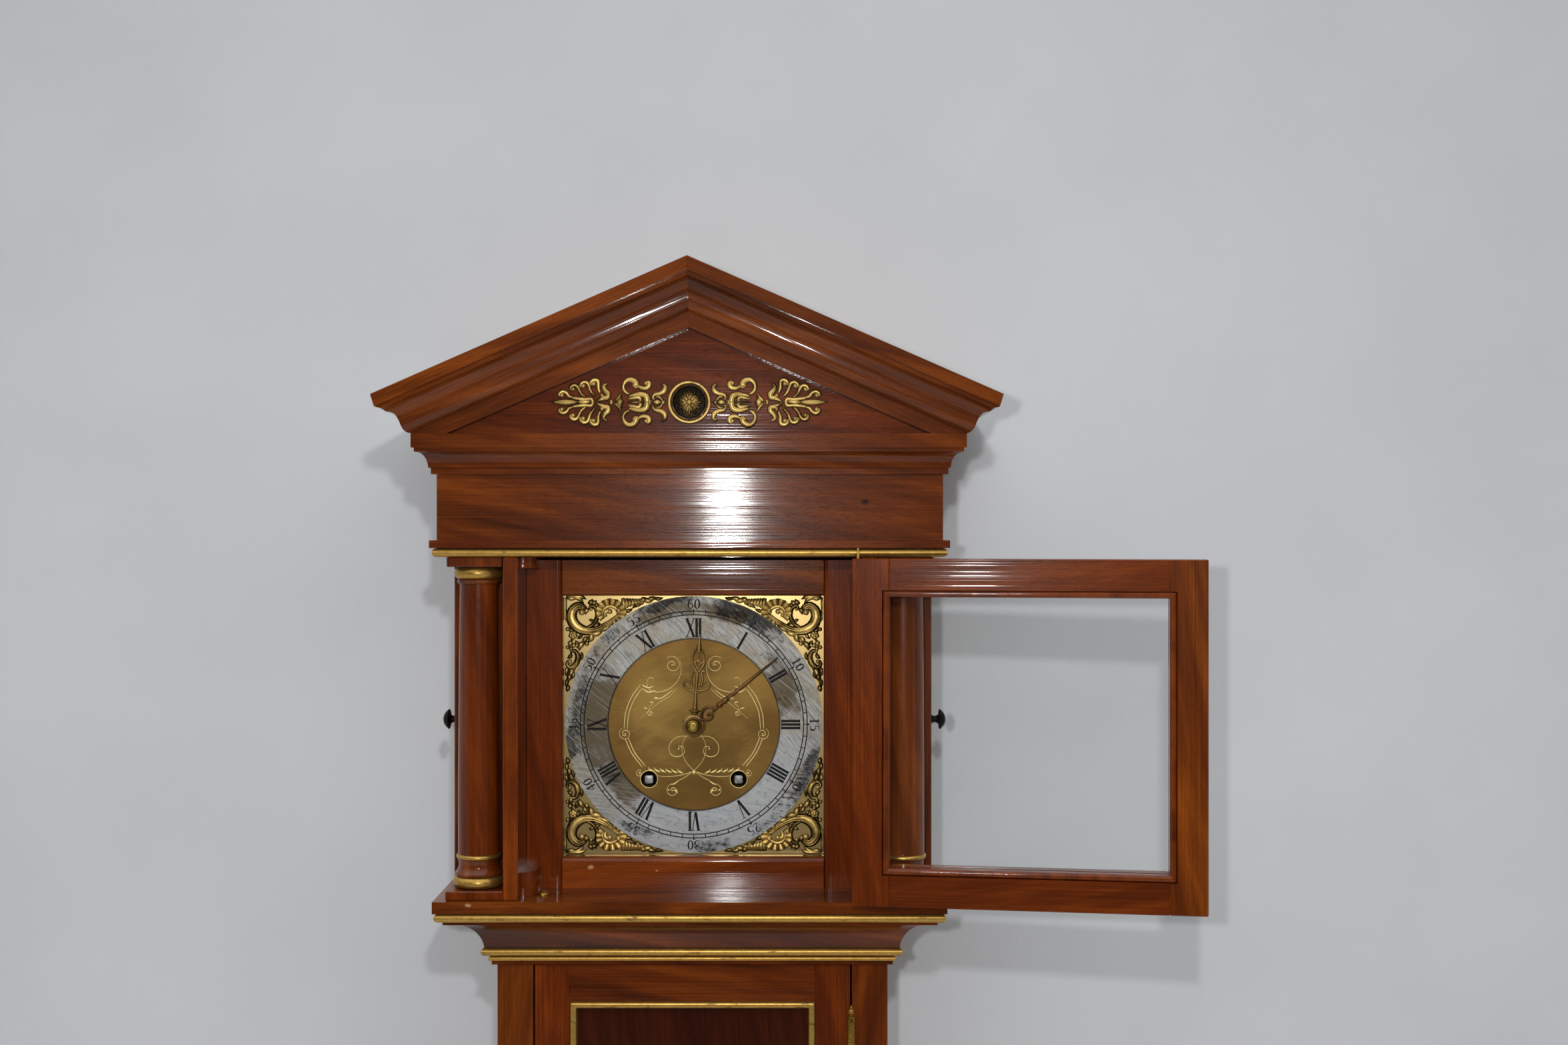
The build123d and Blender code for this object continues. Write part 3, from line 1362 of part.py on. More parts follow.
# ================================================================ one file for each piece
pieces = {
    "plinth_skirt": plinth_skirt, "base_front": base_front, "base_boards": base_boards,
    "waist_moulding": waist_moulding, "trunk_sides": trunk_sides, "back_board": back_board,
    "trunk_front_frame": trunk_front_frame, "throat_moulding": throat_moulding,
    "throat_gilt_beads": throat_gilt_beads, "seat_board": seat_board,
    "trunk_hinges_case": trunk_hinges_case, "trunk_hinges_door": trunk_hinges_door,
    "trunk_door_frame": trunk_door_frame, "trunk_door_panel": trunk_door_panel,
    "trunk_door_gilt_bead": trunk_door_gilt_bead, "trunk_door_lock": trunk_door_lock, "trunk_key": trunk_key,
    "hood_sill": hood_sill, "hood_ledge": hood_ledge, "hood_gilt_trim": hood_gilt_trim,
    "columns": columns, "hood_posts": hood_posts, "dial_mask": dial_mask,
    "hood_side_frames": hood_side_frames, "frieze": frieze, "pediment_cornice": pediment_cornice,
    "tympanum_board": tympanum_board, "tympanum_mount": tympanum_mount, "roof_boards": roof_boards,
    "door_pivot_pins": door_pivot_pins, "hood_door_frame": hood_door_frame,
    "hood_door_glass": hood_door_glass,
    "side_door_left": side_door_left, "side_door_right": side_door_right,
    "side_knob_left": side_knob_left, "side_knob_right": side_knob_right,
    "dial_plate": dial_plate, "chapter_ring": chapter_ring, "spandrels": spandrels,
    "hour_hand": hour_hand, "minute_hand": minute_hand, "hand_nut": hand_nut,
    "movement_frame": movement_frame, "centre_arbor": centre_arbor, "motion_wheel": motion_wheel,
    "hour_wheel": hour_wheel, "going_barrel": going_barrel, "strike_barrel": strike_barrel,
    "third_wheel": third_wheel, "escape_wheel": escape_wheel, "anchor": anchor,
    "pendulum_rod": pendulum_rod, "pendulum_bob": pendulum_bob, "pin_wheel": pin_wheel,
    "hammer": hammer, "bell": bell, "weight_going": weight_going, "weight_strike": weight_strike,
    "line_going": line_going, "line_strike": line_strike,
}
for name, piece in pieces.items():
    piece.part.label = name
    export_step(piece.part, f"parts/{name}.step")
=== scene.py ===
"""The looks of a tall pedimented mahogany clock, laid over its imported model.

+Z is up, +X is to the right of someone who faces the dial and -Y is towards that person. Blender's unit
is the metre; sizes named in millimetres go through MM. The model's own pieces keep their shape and get
their finish here, and the cast, pierced and engraved work is modelled over the plain solids that hold
its place.
"""
import json
import math
import random

import bmesh
import bpy
import numpy as np
from mathutils import Matrix, Vector


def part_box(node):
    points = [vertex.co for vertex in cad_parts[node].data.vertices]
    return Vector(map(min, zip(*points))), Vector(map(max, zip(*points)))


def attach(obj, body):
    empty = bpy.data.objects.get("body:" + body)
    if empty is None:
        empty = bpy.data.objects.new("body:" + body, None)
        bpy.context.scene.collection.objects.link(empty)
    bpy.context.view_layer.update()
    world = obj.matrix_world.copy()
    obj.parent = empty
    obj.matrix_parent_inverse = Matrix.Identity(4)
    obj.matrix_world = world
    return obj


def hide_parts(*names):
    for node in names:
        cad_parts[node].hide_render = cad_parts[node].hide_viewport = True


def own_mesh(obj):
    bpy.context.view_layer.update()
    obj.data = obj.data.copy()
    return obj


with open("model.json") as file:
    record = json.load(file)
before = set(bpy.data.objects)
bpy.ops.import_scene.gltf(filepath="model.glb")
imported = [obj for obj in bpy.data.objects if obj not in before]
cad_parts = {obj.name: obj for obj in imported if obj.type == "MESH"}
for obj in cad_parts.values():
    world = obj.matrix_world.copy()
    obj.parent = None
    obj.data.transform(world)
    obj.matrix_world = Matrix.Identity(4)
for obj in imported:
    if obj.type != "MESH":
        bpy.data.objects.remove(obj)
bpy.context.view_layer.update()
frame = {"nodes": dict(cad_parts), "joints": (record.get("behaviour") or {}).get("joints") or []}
nodes = frame["nodes"]
joints = {joint["name"]: joint for joint in frame["joints"]}

MM = 0.001
TAU = 2 * math.pi

# ======== places, all read from the frame
ring_low, ring_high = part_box("chapter_ring")
dial_z = (ring_low.z + ring_high.z) / 2
plate_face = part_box("dial_plate")[0].y
mask_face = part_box("dial_mask")[0].y
wall_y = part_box("back_board")[1].y

RING_INNER = 0.084           # metres from the centre to where the chapter ring begins

# ======== sizes of the ornament, in millimetres
HOUR_ANGLE = 4               # degrees clockwise from twelve, as the plain hands under the pierced ones
MINUTE_ANGLE = 51
WINDING_X = 43.3             # winding holes, either side of the centre
WINDING_DROP = 53
WINDING_Z = dial_z / MM - WINDING_DROP
ARBOR_RADIUS = 4.5
SPANDREL_REACH = 125         # half of the square that the mask leaves open
SPANDREL_EDGE = 124.6        # as far as the castings go, just short of the mask
DRUM_RADIUS = 22
GUT_RADIUS = 1


# ======== shader helpers
def paint(colour):
    """An sRGB colour from 0 to 255 as the linear RGBA that a socket takes; a socket stays as it is."""
    if isinstance(colour, bpy.types.NodeSocket):
        return colour
    levels = [level / 255 for level in colour]
    return (*(v / 12.92 if v <= 0.04045 else ((v + 0.055) / 1.055) ** 2.4 for v in levels), 1)


class Nodes:
    """Short ways to lay out a tree of nodes."""

    def __init__(self, tree):
        self.tree = tree

    def node(self, kind, inputs=(), **settings):
        node = self.tree.nodes.new(kind)
        for key, value in settings.items():
            setattr(node, key, value)
        for key, value in dict(inputs).items():
            if isinstance(value, bpy.types.NodeSocket):
                self.tree.links.new(value, node.inputs[key])
            else:
                node.inputs[key].default_value = value
        return node

    def math(self, operation, first, second=0, third=0, clamp=False):
        inputs = {0: first, 1: second, 2: third}
        return self.node("ShaderNodeMath", inputs, operation=operation, use_clamp=clamp).outputs[0]

    def times(self, first, second):
        return self.math("MULTIPLY", first, second)

    def plus(self, first, second, clamp=False):
        return self.math("ADD", first, second, clamp=clamp)

    def minus(self, first, second):
        return self.math("SUBTRACT", first, second)

    def linear(self, value, gain, offset):
        return self.plus(self.times(value, gain), offset)

    def swing(self, value, gain):
        """A noise from 0 to 1 as a number on both sides of nought."""
        return self.times(self.minus(value, 0.5), gain)

    def weighed(self, *parts):
        """The sum of (value, weight) pairs."""
        total, *rest = [self.times(value, weight) for value, weight in parts]
        for part in rest:
            total = self.plus(total, part)
        return total

    def vector_math(self, operation, vector, other):
        return self.node("ShaderNodeVectorMath", {0: vector, 1: other}, operation=operation).outputs

    def scaled(self, vector, scale):
        return self.vector_math("MULTIPLY", vector, scale)[0]

    def split(self, vector):
        return self.node("ShaderNodeSeparateXYZ", {0: vector}).outputs

    def noise(self, vector, scale, detail=2, roughness=0.5, distortion=0, output="Fac"):
        """Noise at one scale, or at a scale for each axis."""
        if isinstance(scale, tuple):
            vector, scale = self.scaled(vector, scale), 1
        inputs = {"Vector": vector, "Scale": scale, "Detail": detail, "Roughness": roughness,
                  "Distortion": distortion}
        return self.node("ShaderNodeTexNoise", inputs).outputs[output]

    def band(self, value, low, high, to_low=0, to_high=1):
        """A smooth step from to_low at low to to_high at high."""
        inputs = {"Value": value, "From Min": low, "From Max": high, "To Min": to_low, "To Max": to_high}
        return self.node("ShaderNodeMapRange", inputs, interpolation_type="SMOOTHSTEP").outputs[0]

    def between(self, share, first, second):
        return self.node("ShaderNodeMix", {"Factor": share, "A": first, "B": second}).outputs[0]

    def mix(self, share, first, second, blend="MIX"):
        inputs = {"Factor": share, 6: paint(first), 7: paint(second)}
        return self.node("ShaderNodeMix", inputs, data_type="RGBA", blend_type=blend).outputs[2]


class Shader(Nodes):
    """One material, with its own Principled surface."""

    def __init__(self, name, **surface):
        self.material = bpy.data.materials.new(name)
        self.material.use_nodes = True
        super().__init__(self.material.node_tree)
        self.surface = self.tree.nodes["Principled BSDF"]
        for key, value in surface.items():
            self.surface.inputs[key.replace("_", " ").title().replace("Ior", "IOR")].default_value = value

    def place(self):
        """Position in the model's frame at rest, in metres."""
        return self.node("ShaderNodeTexCoord").outputs["Object"]

    def attribute(self, name, output="Vector"):
        return self.node("ShaderNodeAttribute", attribute_name=name).outputs[output]

    def distance(self, vector, point):
        return self.vector_math("DISTANCE", vector, point)["Value"]

    def ramp(self, value, *stops):
        """Colours at places along a ramp, as (place, colour) pairs."""
        node = self.node("ShaderNodeValToRGB", {0: value})
        while len(node.color_ramp.elements) < len(stops):
            node.color_ramp.elements.new(0.5)
        for element, (place, colour) in zip(node.color_ramp.elements, stops):
            element.position = place
            element.color = paint(colour)
        return node.outputs["Color"]

    def coats(self, colour, *layers):
        """A colour under others, each laid over it by its own share."""
        for share, top in layers:
            colour = self.mix(share, colour, top)
        return colour

    def scale_colour(self, colour, value):
        grey = self.node("ShaderNodeCombineColor", {0: value, 1: value, 2: value}).outputs[0]
        return self.mix(1, colour, grey, "MULTIPLY")

    def brushed(self, turn, along, across, detail=3):
        """Fine streaks on an upright face, turned anticlockwise from level by an angle in degrees."""
        inputs = {"Vector": self.place(), "Rotation": (0, math.radians(turn), 0)}
        turned = self.node("ShaderNodeMapping", inputs).outputs[0]
        return self.noise(turned, (along, 0, across), detail, 0.6)

    def round_dial(self):
        """Angle clockwise from twelve, in radians, and the distance from the dial's centre, in metres."""
        axes = self.split(self.place())
        rise = self.minus(axes["Z"], dial_z)
        square = self.plus(self.times(axes["X"], axes["X"]), self.times(rise, rise))
        return self.math("ARCTAN2", axes["X"], rise), self.math("SQRT", square)

    def patch(self, polar, minute, spread, inner, outer, soft=5):
        """1 inside a stretch of the dial, spread minutes each side of a minute, between two radii in mm."""
        angle, radius = polar
        away = self.math("WRAP", self.minus(angle, minute * TAU / 60), math.pi, -math.pi)
        side = self.band(self.math("ABSOLUTE", away), 0.35 * spread * TAU / 60, spread * TAU / 60, 1, 0)
        rise = self.band(radius, (inner - soft) * MM, (inner + soft) * MM)
        fall = self.band(radius, (outer - soft) * MM, (outer + soft) * MM, 1, 0)
        return self.times(side, self.times(rise, fall))

    def bump(self, height, distance, strength=1, layer="normal"):
        bumped = self.node("ShaderNodeBump", {"Height": height, "Distance": distance, "Strength": strength})
        self.set(**{layer: bumped.outputs[0]})

    def set(self, **sockets):
        for key, socket in sockets.items():
            self.tree.links.new(socket, self.surface.inputs[key.replace("_", " ").title()])

    def show(self, share, first, second):
        """Puts a mix of two shaders on the material in place of its surface alone."""
        both = self.node("ShaderNodeMixShader", {0: share, 1: first, 2: second}).outputs[0]
        self.tree.links.new(both, self.tree.nodes["Material Output"].inputs["Surface"])


# ======== wood
KNOT = (30, 11, 4)
CHIP = (176, 138, 104)
MARKS = [                    # x, y, z and radius in metres, and the colour of a knot or chip
    (0.1616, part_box("frieze")[0].y, 1.7836, 0.0042, KNOT),
    (-0.116, -0.130, 1.8166, 0.0022, KNOT),
    (0.218, -0.140, 1.4225, 0.0050, KNOT),
    (0.396, -0.160, 1.7030, 0.0016, KNOT),
    (-0.098, mask_face, 1.4348, 0.0030, CHIP),
    (-0.0347, mask_face, 1.4315, 0.0012, CHIP),
    (-0.204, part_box("hood_sill")[0].y, 1.4117, 0.0026, CHIP),
]
MARK_SHAPE = (0.7, 0.4, 1.2)


def polished_wood(name, dark, middle, light):
    """French-polished mahogany: streaks and pores along each board's own grain."""
    wood = Shader(name, coat_weight=0.6, coat_roughness=0.07, coat_ior=1.5, specular_ior_level=0.06)
    grain = wood.attribute("grain")
    board = wood.split(wood.attribute("board"))
    leaning = wood.node("ShaderNodeMapping", {"Vector": grain, "Rotation": (0, 0, 0.17)}).outputs[0]
    figure = wood.noise(leaning, (2.4, 34, 24), 3, distortion=0.5)
    ribbon = wood.noise(leaning, (14, 120, 100))
    streaks = wood.noise(grain, (6, 760, 620), 4, 0.65)
    pores = wood.band(wood.noise(grain, (150, 3600, 3200), 1), 0.58, 0.7)
    depth = wood.weighed((figure, 0.5), (streaks, 0.3), (ribbon, 0.2))
    rub = wood.band(wood.noise(grain, (60, 60, 60)), 0.35, 0.65, 0, 0.4)
    colour = wood.coats(
        wood.ramp(depth, (0.33, dark), (0.5, middle), (0.67, light)),
        (wood.times(pores, 0.5), dark),
        (wood.times(wood.attribute("edge", "Fac"), rub), light),
    )
    for *centre, radius, stain in MARKS:
        centre = tuple(scale * value for scale, value in zip(MARK_SHAPE, centre))
        near = wood.distance(wood.scaled(wood.place(), MARK_SHAPE), centre)
        wobble = wood.times(wood.noise(wood.place(), 1 / radius, 3, 0.7), radius)
        share = wood.band(wood.plus(near, wobble), 0.8 * radius, 1.5 * radius, 0.9, 0)
        colour = wood.mix(share, colour, stain)
    colour = wood.scale_colour(colour, board[0])
    warm = wood.mix(0.35, colour, (168, 84, 22), "SOFT_LIGHT")
    wood.set(base_color=wood.mix(board[1], colour, warm), roughness=wood.linear(streaks, 0.2, 0.2))
    wood.bump(wood.minus(streaks, pores), 0.00004, 0.6)
    rubbed = wood.noise(grain, (1, 900, 700), 0)
    ripple = wood.noise(grain, (3, 16, 16), 1)
    wood.bump(wood.linear(rubbed, 0.2, ripple), 0.0003, 1, "coat_normal")
    return wood.material


def plain_wood(name, dark, light):
    """Unpolished softwood or oak of the carcase, dusty and dry."""
    wood = Shader(name, roughness=0.78)
    grain = wood.attribute("grain")
    figure = wood.noise(grain, (1.2, 34, 26), 4, distortion=1.2)
    streaks = wood.noise(grain, (9, 700, 500), 3)
    depth = wood.weighed((figure, 0.7), (streaks, 0.3))
    stain = wood.band(wood.noise(wood.place(), 9, 4), 0.5, 0.75, 0, 0.45)
    colour = wood.mix(stain, wood.ramp(depth, (0.36, dark), (0.62, light)), dark)
    wood.set(base_color=wood.scale_colour(colour, wood.split(wood.attribute("board"))[0]))
    wood.bump(depth, 0.0004, 0.5)
    return wood.material


# ======== metals and glass
def rubbed_metal(name, deep, bright, roughness, tarnish=0.5, grain=420, metallic=1, bump=0.00006):
    """A metal whose colour and gloss wander between deep and bright."""
    metal = Shader(name, metallic=metallic, roughness=roughness)
    place = metal.place()
    specks = metal.noise(place, grain, 3, 0.7)
    share = metal.weighed((metal.noise(place, 34, 4, 0.6), 0.65), (specks, 0.35))
    metal.set(base_color=metal.mix(metal.band(share, 0.5 - 0.3 * tarnish, 0.62, 1, 0), bright, deep))
    metal.set(roughness=metal.linear(specks, 0.25, roughness - 0.1))
    metal.bump(specks, bump, 0.6)
    return metal.material


def gilded(name):
    """Old leaf gilding, toned down, with the brown ground showing through here and there."""
    gold = Shader(name, metallic=1)
    place = gold.place()
    rub = gold.noise(gold.scaled(place, (1, 1, 2.4)), 60, 4, 0.65)
    through = gold.band(rub, 0.56, 0.70, 0, 0.85)
    leaf = gold.mix(gold.noise(place, 240, 3), (206, 168, 88), (158, 118, 54))
    gold.set(base_color=gold.mix(through, leaf, (84, 52, 20)))
    gold.set(metallic=gold.minus(0.9, gold.times(through, 0.5)))
    gold.set(roughness=gold.linear(rub, 0.25, 0.24))
    gold.bump(gold.noise(place, 420), 0.00006, 0.5)
    return gold.material


BLACKENED = [                # minute, spread in minutes, inner and outer radius in mm, strength
    (57.6, 3.6, 115, 128, 1), (4.4, 4.6, 108, 128, 0.95), (51.6, 3, 108, 124, 0.6),
    (46, 6, 106, 122, 0.75), (19, 4.2, 113, 128, 0.85), (23.4, 3, 111, 126, 0.6),
    (28.2, 2.6, 112, 126, 0.75), (34.6, 2, 109, 121, 0.75), (39.6, 2.6, 84, 104, 0.55),
    (43.2, 1.8, 114, 128, 0.9), (8.6, 2, 90, 106, 0.5), (31.2, 3, 80, 88, 0.6),
    (12.5, 2, 84, 104, 0.45),
]
BROWNED = [
    (57.2, 4, 103, 119, 0.9), (2.4, 3.2, 104, 119, 1), (46.4, 5.4, 80, 109, 1),
    (42.6, 3.4, 80, 109, 0.85), (11.4, 4.2, 80, 107, 0.8), (38.4, 4, 80, 103, 0.8),
    (16.6, 3.2, 108, 126, 0.45), (59.6, 5, 82, 104, 0.35), (19.5, 3.2, 104, 118, 0.5),
]


def silvering(name):
    """Worn silvering: brushed silver, brown and black where it has gone, laid out round the ring, with
    painted shade along its inner edge.
    """
    silver = Shader(name, metallic=0.8)
    place = silver.place()
    scratch = silver.brushed(-38, 7, 1500, 1)
    upper = silver.band(silver.split(place)["Z"], dial_z - 0.07, dial_z - 0.01)
    streak = silver.between(upper, silver.brushed(-8, 30, 700), silver.brushed(-50, 40, 620))
    clouds = silver.noise(place, 40, 4, 0.62)
    specks = silver.noise(place, 260, 4, 0.7)
    angle, radius = silver.round_dial()
    wander = silver.split(silver.noise(place, 55, 3, output="Color"))
    angle = silver.plus(angle, silver.swing(wander["X"], 0.42))
    polar = (angle, silver.plus(radius, silver.swing(wander["Y"], 0.018)))

    def lost(patches, streaked, grit, edge):
        """How much of the silver has gone, by patches with ragged edges."""
        ragged = silver.weighed((streak, streaked), (grit, 1 - streaked))
        share, *rest = [silver.times(silver.patch(polar, *row[:4]), row[4]) for row in patches]
        for other in rest:
            share = silver.math("MAXIMUM", share, other)
        share = silver.plus(share, silver.swing(ragged, 2.6))
        return silver.times(silver.band(share, edge, edge + 0.5), 0.86)

    black = lost(BLACKENED, 0.6, specks, 0.44)
    cool = silver.times(silver.patch((angle, radius), 27, 14, 80, 130, 2), 0.6)
    silver.set(base_color=silver.coats(
        silver.mix(silver.band(streak, 0.3, 0.68), (108, 107, 103), (176, 174, 168)),
        (silver.band(clouds, 0.44, 0.62, 0, 0.55), (150, 138, 114)),       # warm
        (cool, (180, 184, 190)),
        (silver.band(specks, 0.52, 0.66, 0, 0.35), (92, 88, 82)),
        (lost(BROWNED, 0.65, clouds, 0.34), (78, 64, 38)),
        (black, (34, 32, 32)),
        (silver.band(scratch, 0.62, 0.72, 0, 0.5), (214, 214, 214)),
        # painted shade: a dark band on the ring along its inner edge, where it steps down to the plate
        (silver.band(radius, RING_INNER - 0.0011, RING_INNER + 0.0005, 0.9, 0), (30, 24, 16)),
    ))
    silver.set(roughness=silver.plus(silver.linear(streak, 0.2, 0.42), silver.times(black, 0.15)))
    silver.bump(silver.plus(streak, silver.times(black, -0.4)), 0.00003, 0.6)
    return silver.material


def dial_finish(name):
    """Sheet brass: softly matted inside the chapter ring, polished in the corners, with painted shade
    darkening it towards the bottom.
    """
    brass = Shader(name, metallic=0.82)
    place = brass.place()
    _, radius = brass.round_dial()
    level = brass.brushed(-4, 12, 700)
    clouds = brass.noise(brass.scaled(place, (1, 1, 1.5)), 15, 4, 0.55)
    share = brass.weighed((clouds, 0.7), (level, 0.18), (brass.brushed(28, 24, 300), 0.12))
    dull = brass.distance(brass.scaled(place, (1, 0, 1)), (0.022, 0, dial_z + 0.016))
    outside = brass.band(radius, RING_INNER - 0.0005, RING_INNER + 0.001)
    brass.set(base_color=brass.coats(
        brass.mix(brass.band(share, 0.36, 0.62), (102, 75, 34), (148, 118, 60)),
        (brass.band(dull, 0.006, 0.045, 0.55, 0), (98, 70, 32)),
        (brass.band(radius, 0.055, RING_INNER - 0.001, 0, 0.4), (124, 88, 40)),
        # painted shade: the brass darkens towards the bottom of the dial
        (brass.band(brass.split(place)["Z"], dial_z - 0.08, dial_z + 0.04, 0.35, 0), (96, 70, 30)),
        (outside, (172, 146, 94)),
    ))
    brass.set(roughness=brass.between(outside, brass.linear(level, 0.14, 0.46), 0.3))
    brass.bump(level, 0.00002, 0.5)
    return brass.material


def engraved_line(name):
    """Cut brass, lighter than the matted ground around it: partly the cleaner cut metal, partly a painted
    highlight where the cut lines catch the light.
    """
    brass = Shader(name, metallic=0.6, roughness=0.42)
    brass.set(base_color=brass.mix(brass.noise(brass.place(), 210), (204, 176, 104), (244, 222, 150)))
    brass.bump(brass.noise(brass.place(), 700), 0.00005, 0.5)
    return brass.material


def darkened_plates(name):
    """Movement brass, browned, and nearly black round the winding arbors: painted shade for the dark seen
    through the winding holes.
    """
    brass = Shader(name, metallic=1, roughness=0.4)
    clouds = brass.noise(brass.place(), 30, 4, 0.6)
    colour = brass.mix(clouds, (190, 148, 72), (128, 92, 38))
    flat = brass.scaled(brass.place(), (1, 0, 1))
    # painted shade: nearly black round each winding arbor, where the winding holes look dark
    for side in (-1, 1):
        near = brass.distance(flat, (side * WINDING_X * MM, 0, dial_z - WINDING_DROP * MM))
        colour = brass.mix(brass.band(near, 0.012, 0.022, 0.95, 0), colour, (20, 14, 8))
    brass.set(base_color=colour)
    brass.bump(clouds, 0.0002, 0.4)
    return brass.material


def cast_metal(name, pit, deep, bright):
    """Old cast brass, coloured by height: nearly black in the hollows, partly patina and partly painted
    shade, and bright on the crests, partly rubbed metal and partly a painted highlight.
    """
    metal = Shader(name, metallic=0.9)
    place = metal.place()
    specks = metal.noise(place, 900, 3, 0.7)
    share = metal.plus(metal.attribute("height", "Fac"), metal.swing(metal.noise(place, 70, 3, 0.6), 0.9))
    share = metal.plus(share, metal.swing(specks, 0.5))
    # patina with painted shade in the hollows, rubbed brass with a painted highlight on the crests
    metal.set(base_color=metal.ramp(share, (0.28, pit), (0.66, deep), (1, bright)))
    metal.set(roughness=metal.linear(specks, 0.3, 0.24))
    metal.bump(specks, 0.00005, 0.6)
    return metal.material


def plain_ink(name, colour):
    """Black wax or paint filled into engraving."""
    wax = Shader(name, roughness=0.6, specular_ior_level=0.2)
    worn = wax.band(wax.noise(wax.place(), 800, 3, 0.7), 0.6, 0.75, 0, 0.4)
    wax.set(base_color=wax.mix(worn, colour, (70, 64, 54)))
    wax.bump(wax.noise(wax.place(), 1500), 0.00003, 0.5)
    return wax.material


def clear_glass(name, tint=(0.955, 0.965, 0.96, 1)):
    """Window glass that lets the lamps through to what stands behind it."""
    glass = Shader(name, base_color=tint, transmission_weight=1, roughness=0, ior=1.45)
    rays = glass.node("ShaderNodeLightPath").outputs
    passing = glass.plus(rays["Is Shadow Ray"], rays["Is Diffuse Ray"], clamp=True)
    clear = glass.node("ShaderNodeBsdfTransparent", {0: tint}).outputs[0]
    glass.show(passing, glass.surface.outputs[0], clear)
    return glass.material


# ======== boards and their grain
UPRIGHT = {"columns"}
EASED = {"base_front", "trunk_front_frame", "trunk_door_frame", "hood_posts", "hood_side_frames",
         "hood_door_frame", "side_door_left", "side_door_right"}
EASED_WIDTH = 1.3 * MM       # faces narrower than this are arrises
SAME_PLACE = 1e-5
PANEL_SIZE = 0.1             # metres; the grain of a face wider and taller than this stands upright


def loose_parts(mesh):
    """Vertices of each separate solid in a mesh, joined by place where sharp edges split them."""
    parent = list(range(len(mesh.vertices)))

    def root(index):
        while parent[index] != index:
            parent[index] = parent[parent[index]]
            index = parent[index]
        return index

    first_at = {}
    for vertex in mesh.vertices:
        key = tuple(round(value / SAME_PLACE) for value in vertex.co)
        parent[root(vertex.index)] = root(first_at.setdefault(key, vertex.index))
    for edge in mesh.edges:
        parent[root(edge.vertices[0])] = root(edge.vertices[1])
    groups = {}
    for index in range(len(parent)):
        groups.setdefault(root(index), []).append(index)
    return list(groups.values())


def grain_axes(points, upright):
    """Unit axes of one board, the first along its grain."""
    size = np.ptp(points, axis=0)
    wide_panel = min(size[0], size[2]) > PANEL_SIZE and size[0] < 1.5 * size[2]
    if upright or wide_panel:
        return np.array([(0, 0, 1), (1, 0, 0), (0, 1, 0)], float)
    _, axes = np.linalg.eigh(np.cov((points - points.mean(0)).T))
    return axes.T[::-1]


def lay_grain(obj, name):
    """Gives each board its own stretch of timber, colour and worn arrises."""
    mesh = obj.data
    points = np.array([vertex.co for vertex in mesh.vertices])
    grain = np.zeros_like(points)
    board = np.zeros_like(points)
    for number, group in enumerate(loose_parts(mesh)):
        draw = random.Random(f"{name} {number}")
        solid = points[group]
        axes = grain_axes(solid, name in UPRIGHT)
        shift = [draw.uniform(-9, 9) for _ in range(3)]
        grain[group] = (solid - solid.mean(0)) @ axes.T + shift
        board[group] = (draw.uniform(0.86, 1.12), draw.uniform(0, 1), 0)
    for label, values in (("grain", grain), ("board", board)):
        layer = mesh.attributes.new(label, "FLOAT_VECTOR", "POINT")
        layer.data.foreach_set("vector", values.astype(np.float32).ravel())
    worn = [0] * len(mesh.polygons)
    if name in EASED:
        for polygon in mesh.polygons:
            longest = max(np.linalg.norm(points[a] - points[b]) for a, b in polygon.edge_keys)
            worn[polygon.index] = float(2 * polygon.area / longest < EASED_WIDTH)
    layer = mesh.attributes.new("edge", "FLOAT", "FACE")
    layer.data.foreach_set("value", worn)


# ======== the finishes
mahogany = polished_wood("polished_mahogany", (54, 21, 4), (93, 42, 8), (130, 66, 16))
dark_mahogany = polished_wood("dark_mahogany", (30, 9, 2), (50, 17, 4), (70, 28, 9))
gilding = gilded("gilding")
old_brass = rubbed_metal("old_brass", (70, 48, 16), (176, 134, 60), 0.4)
cast_brass = cast_metal("cast_brass", (16, 11, 5), (80, 59, 25), (212, 178, 104))
bright_brass = engraved_line("bright_brass")
black_wax = plain_ink("black_wax", (17, 15, 13))
hand_brass = rubbed_metal("hand_brass", (106, 78, 40), (176, 142, 86), 0.42, grain=700, metallic=0.85)
hand_brown = rubbed_metal("hand_brown", (70, 48, 26), (128, 94, 54), 0.42, grain=700, metallic=0.85)
nut_brass = rubbed_metal("nut_brass", (120, 98, 44), (166, 140, 70), 0.34, 0.4, grain=200)
steel = rubbed_metal("steel", (84, 82, 80), (168, 168, 168), 0.34)
bronze = rubbed_metal("dark_bronze", (16, 13, 11), (40, 33, 28), 0.42)
gut = rubbed_metal("gut", (140, 110, 66), (196, 168, 118), 0.5, metallic=0)

FINISHES = {
    "mahogany": mahogany,
    "carcase_wood": plain_wood("carcase_wood", (108, 78, 50), (150, 116, 78)),
    "gilding": gilding,
    "antique_brass": old_brass,
    "dark_bronze": bronze,
    "dial_brass": dial_finish("plate_brass"),
    "silvered_brass": silvering("silvered_brass"),
    "hand_brass": hand_brass,
    "movement_brass": darkened_plates("works_brass"),
    "steel": steel,
    "bell_metal": rubbed_metal("bell_metal", (120, 84, 40), (196, 150, 84), 0.26, 0.3),
    "cast_iron_weight": rubbed_metal("cast_iron", (24, 23, 22), (52, 50, 48), 0.6, bump=0.0003),
    "gut_line": gut,
    "clear_glass": clear_glass("clear_glass"),
}

for name, obj in nodes.items():
    finish = obj.material_slots[0].material.name
    if finish in ("mahogany", "carcase_wood"):
        lay_grain(obj, name)
    obj.material_slots[0].material = FINISHES[finish]
nodes["trunk_door_panel"].material_slots[0].material = dark_mahogany
nodes["hand_nut"].material_slots[0].material = nut_brass
nodes["door_pivot_pins"].material_slots[0].material = gilding

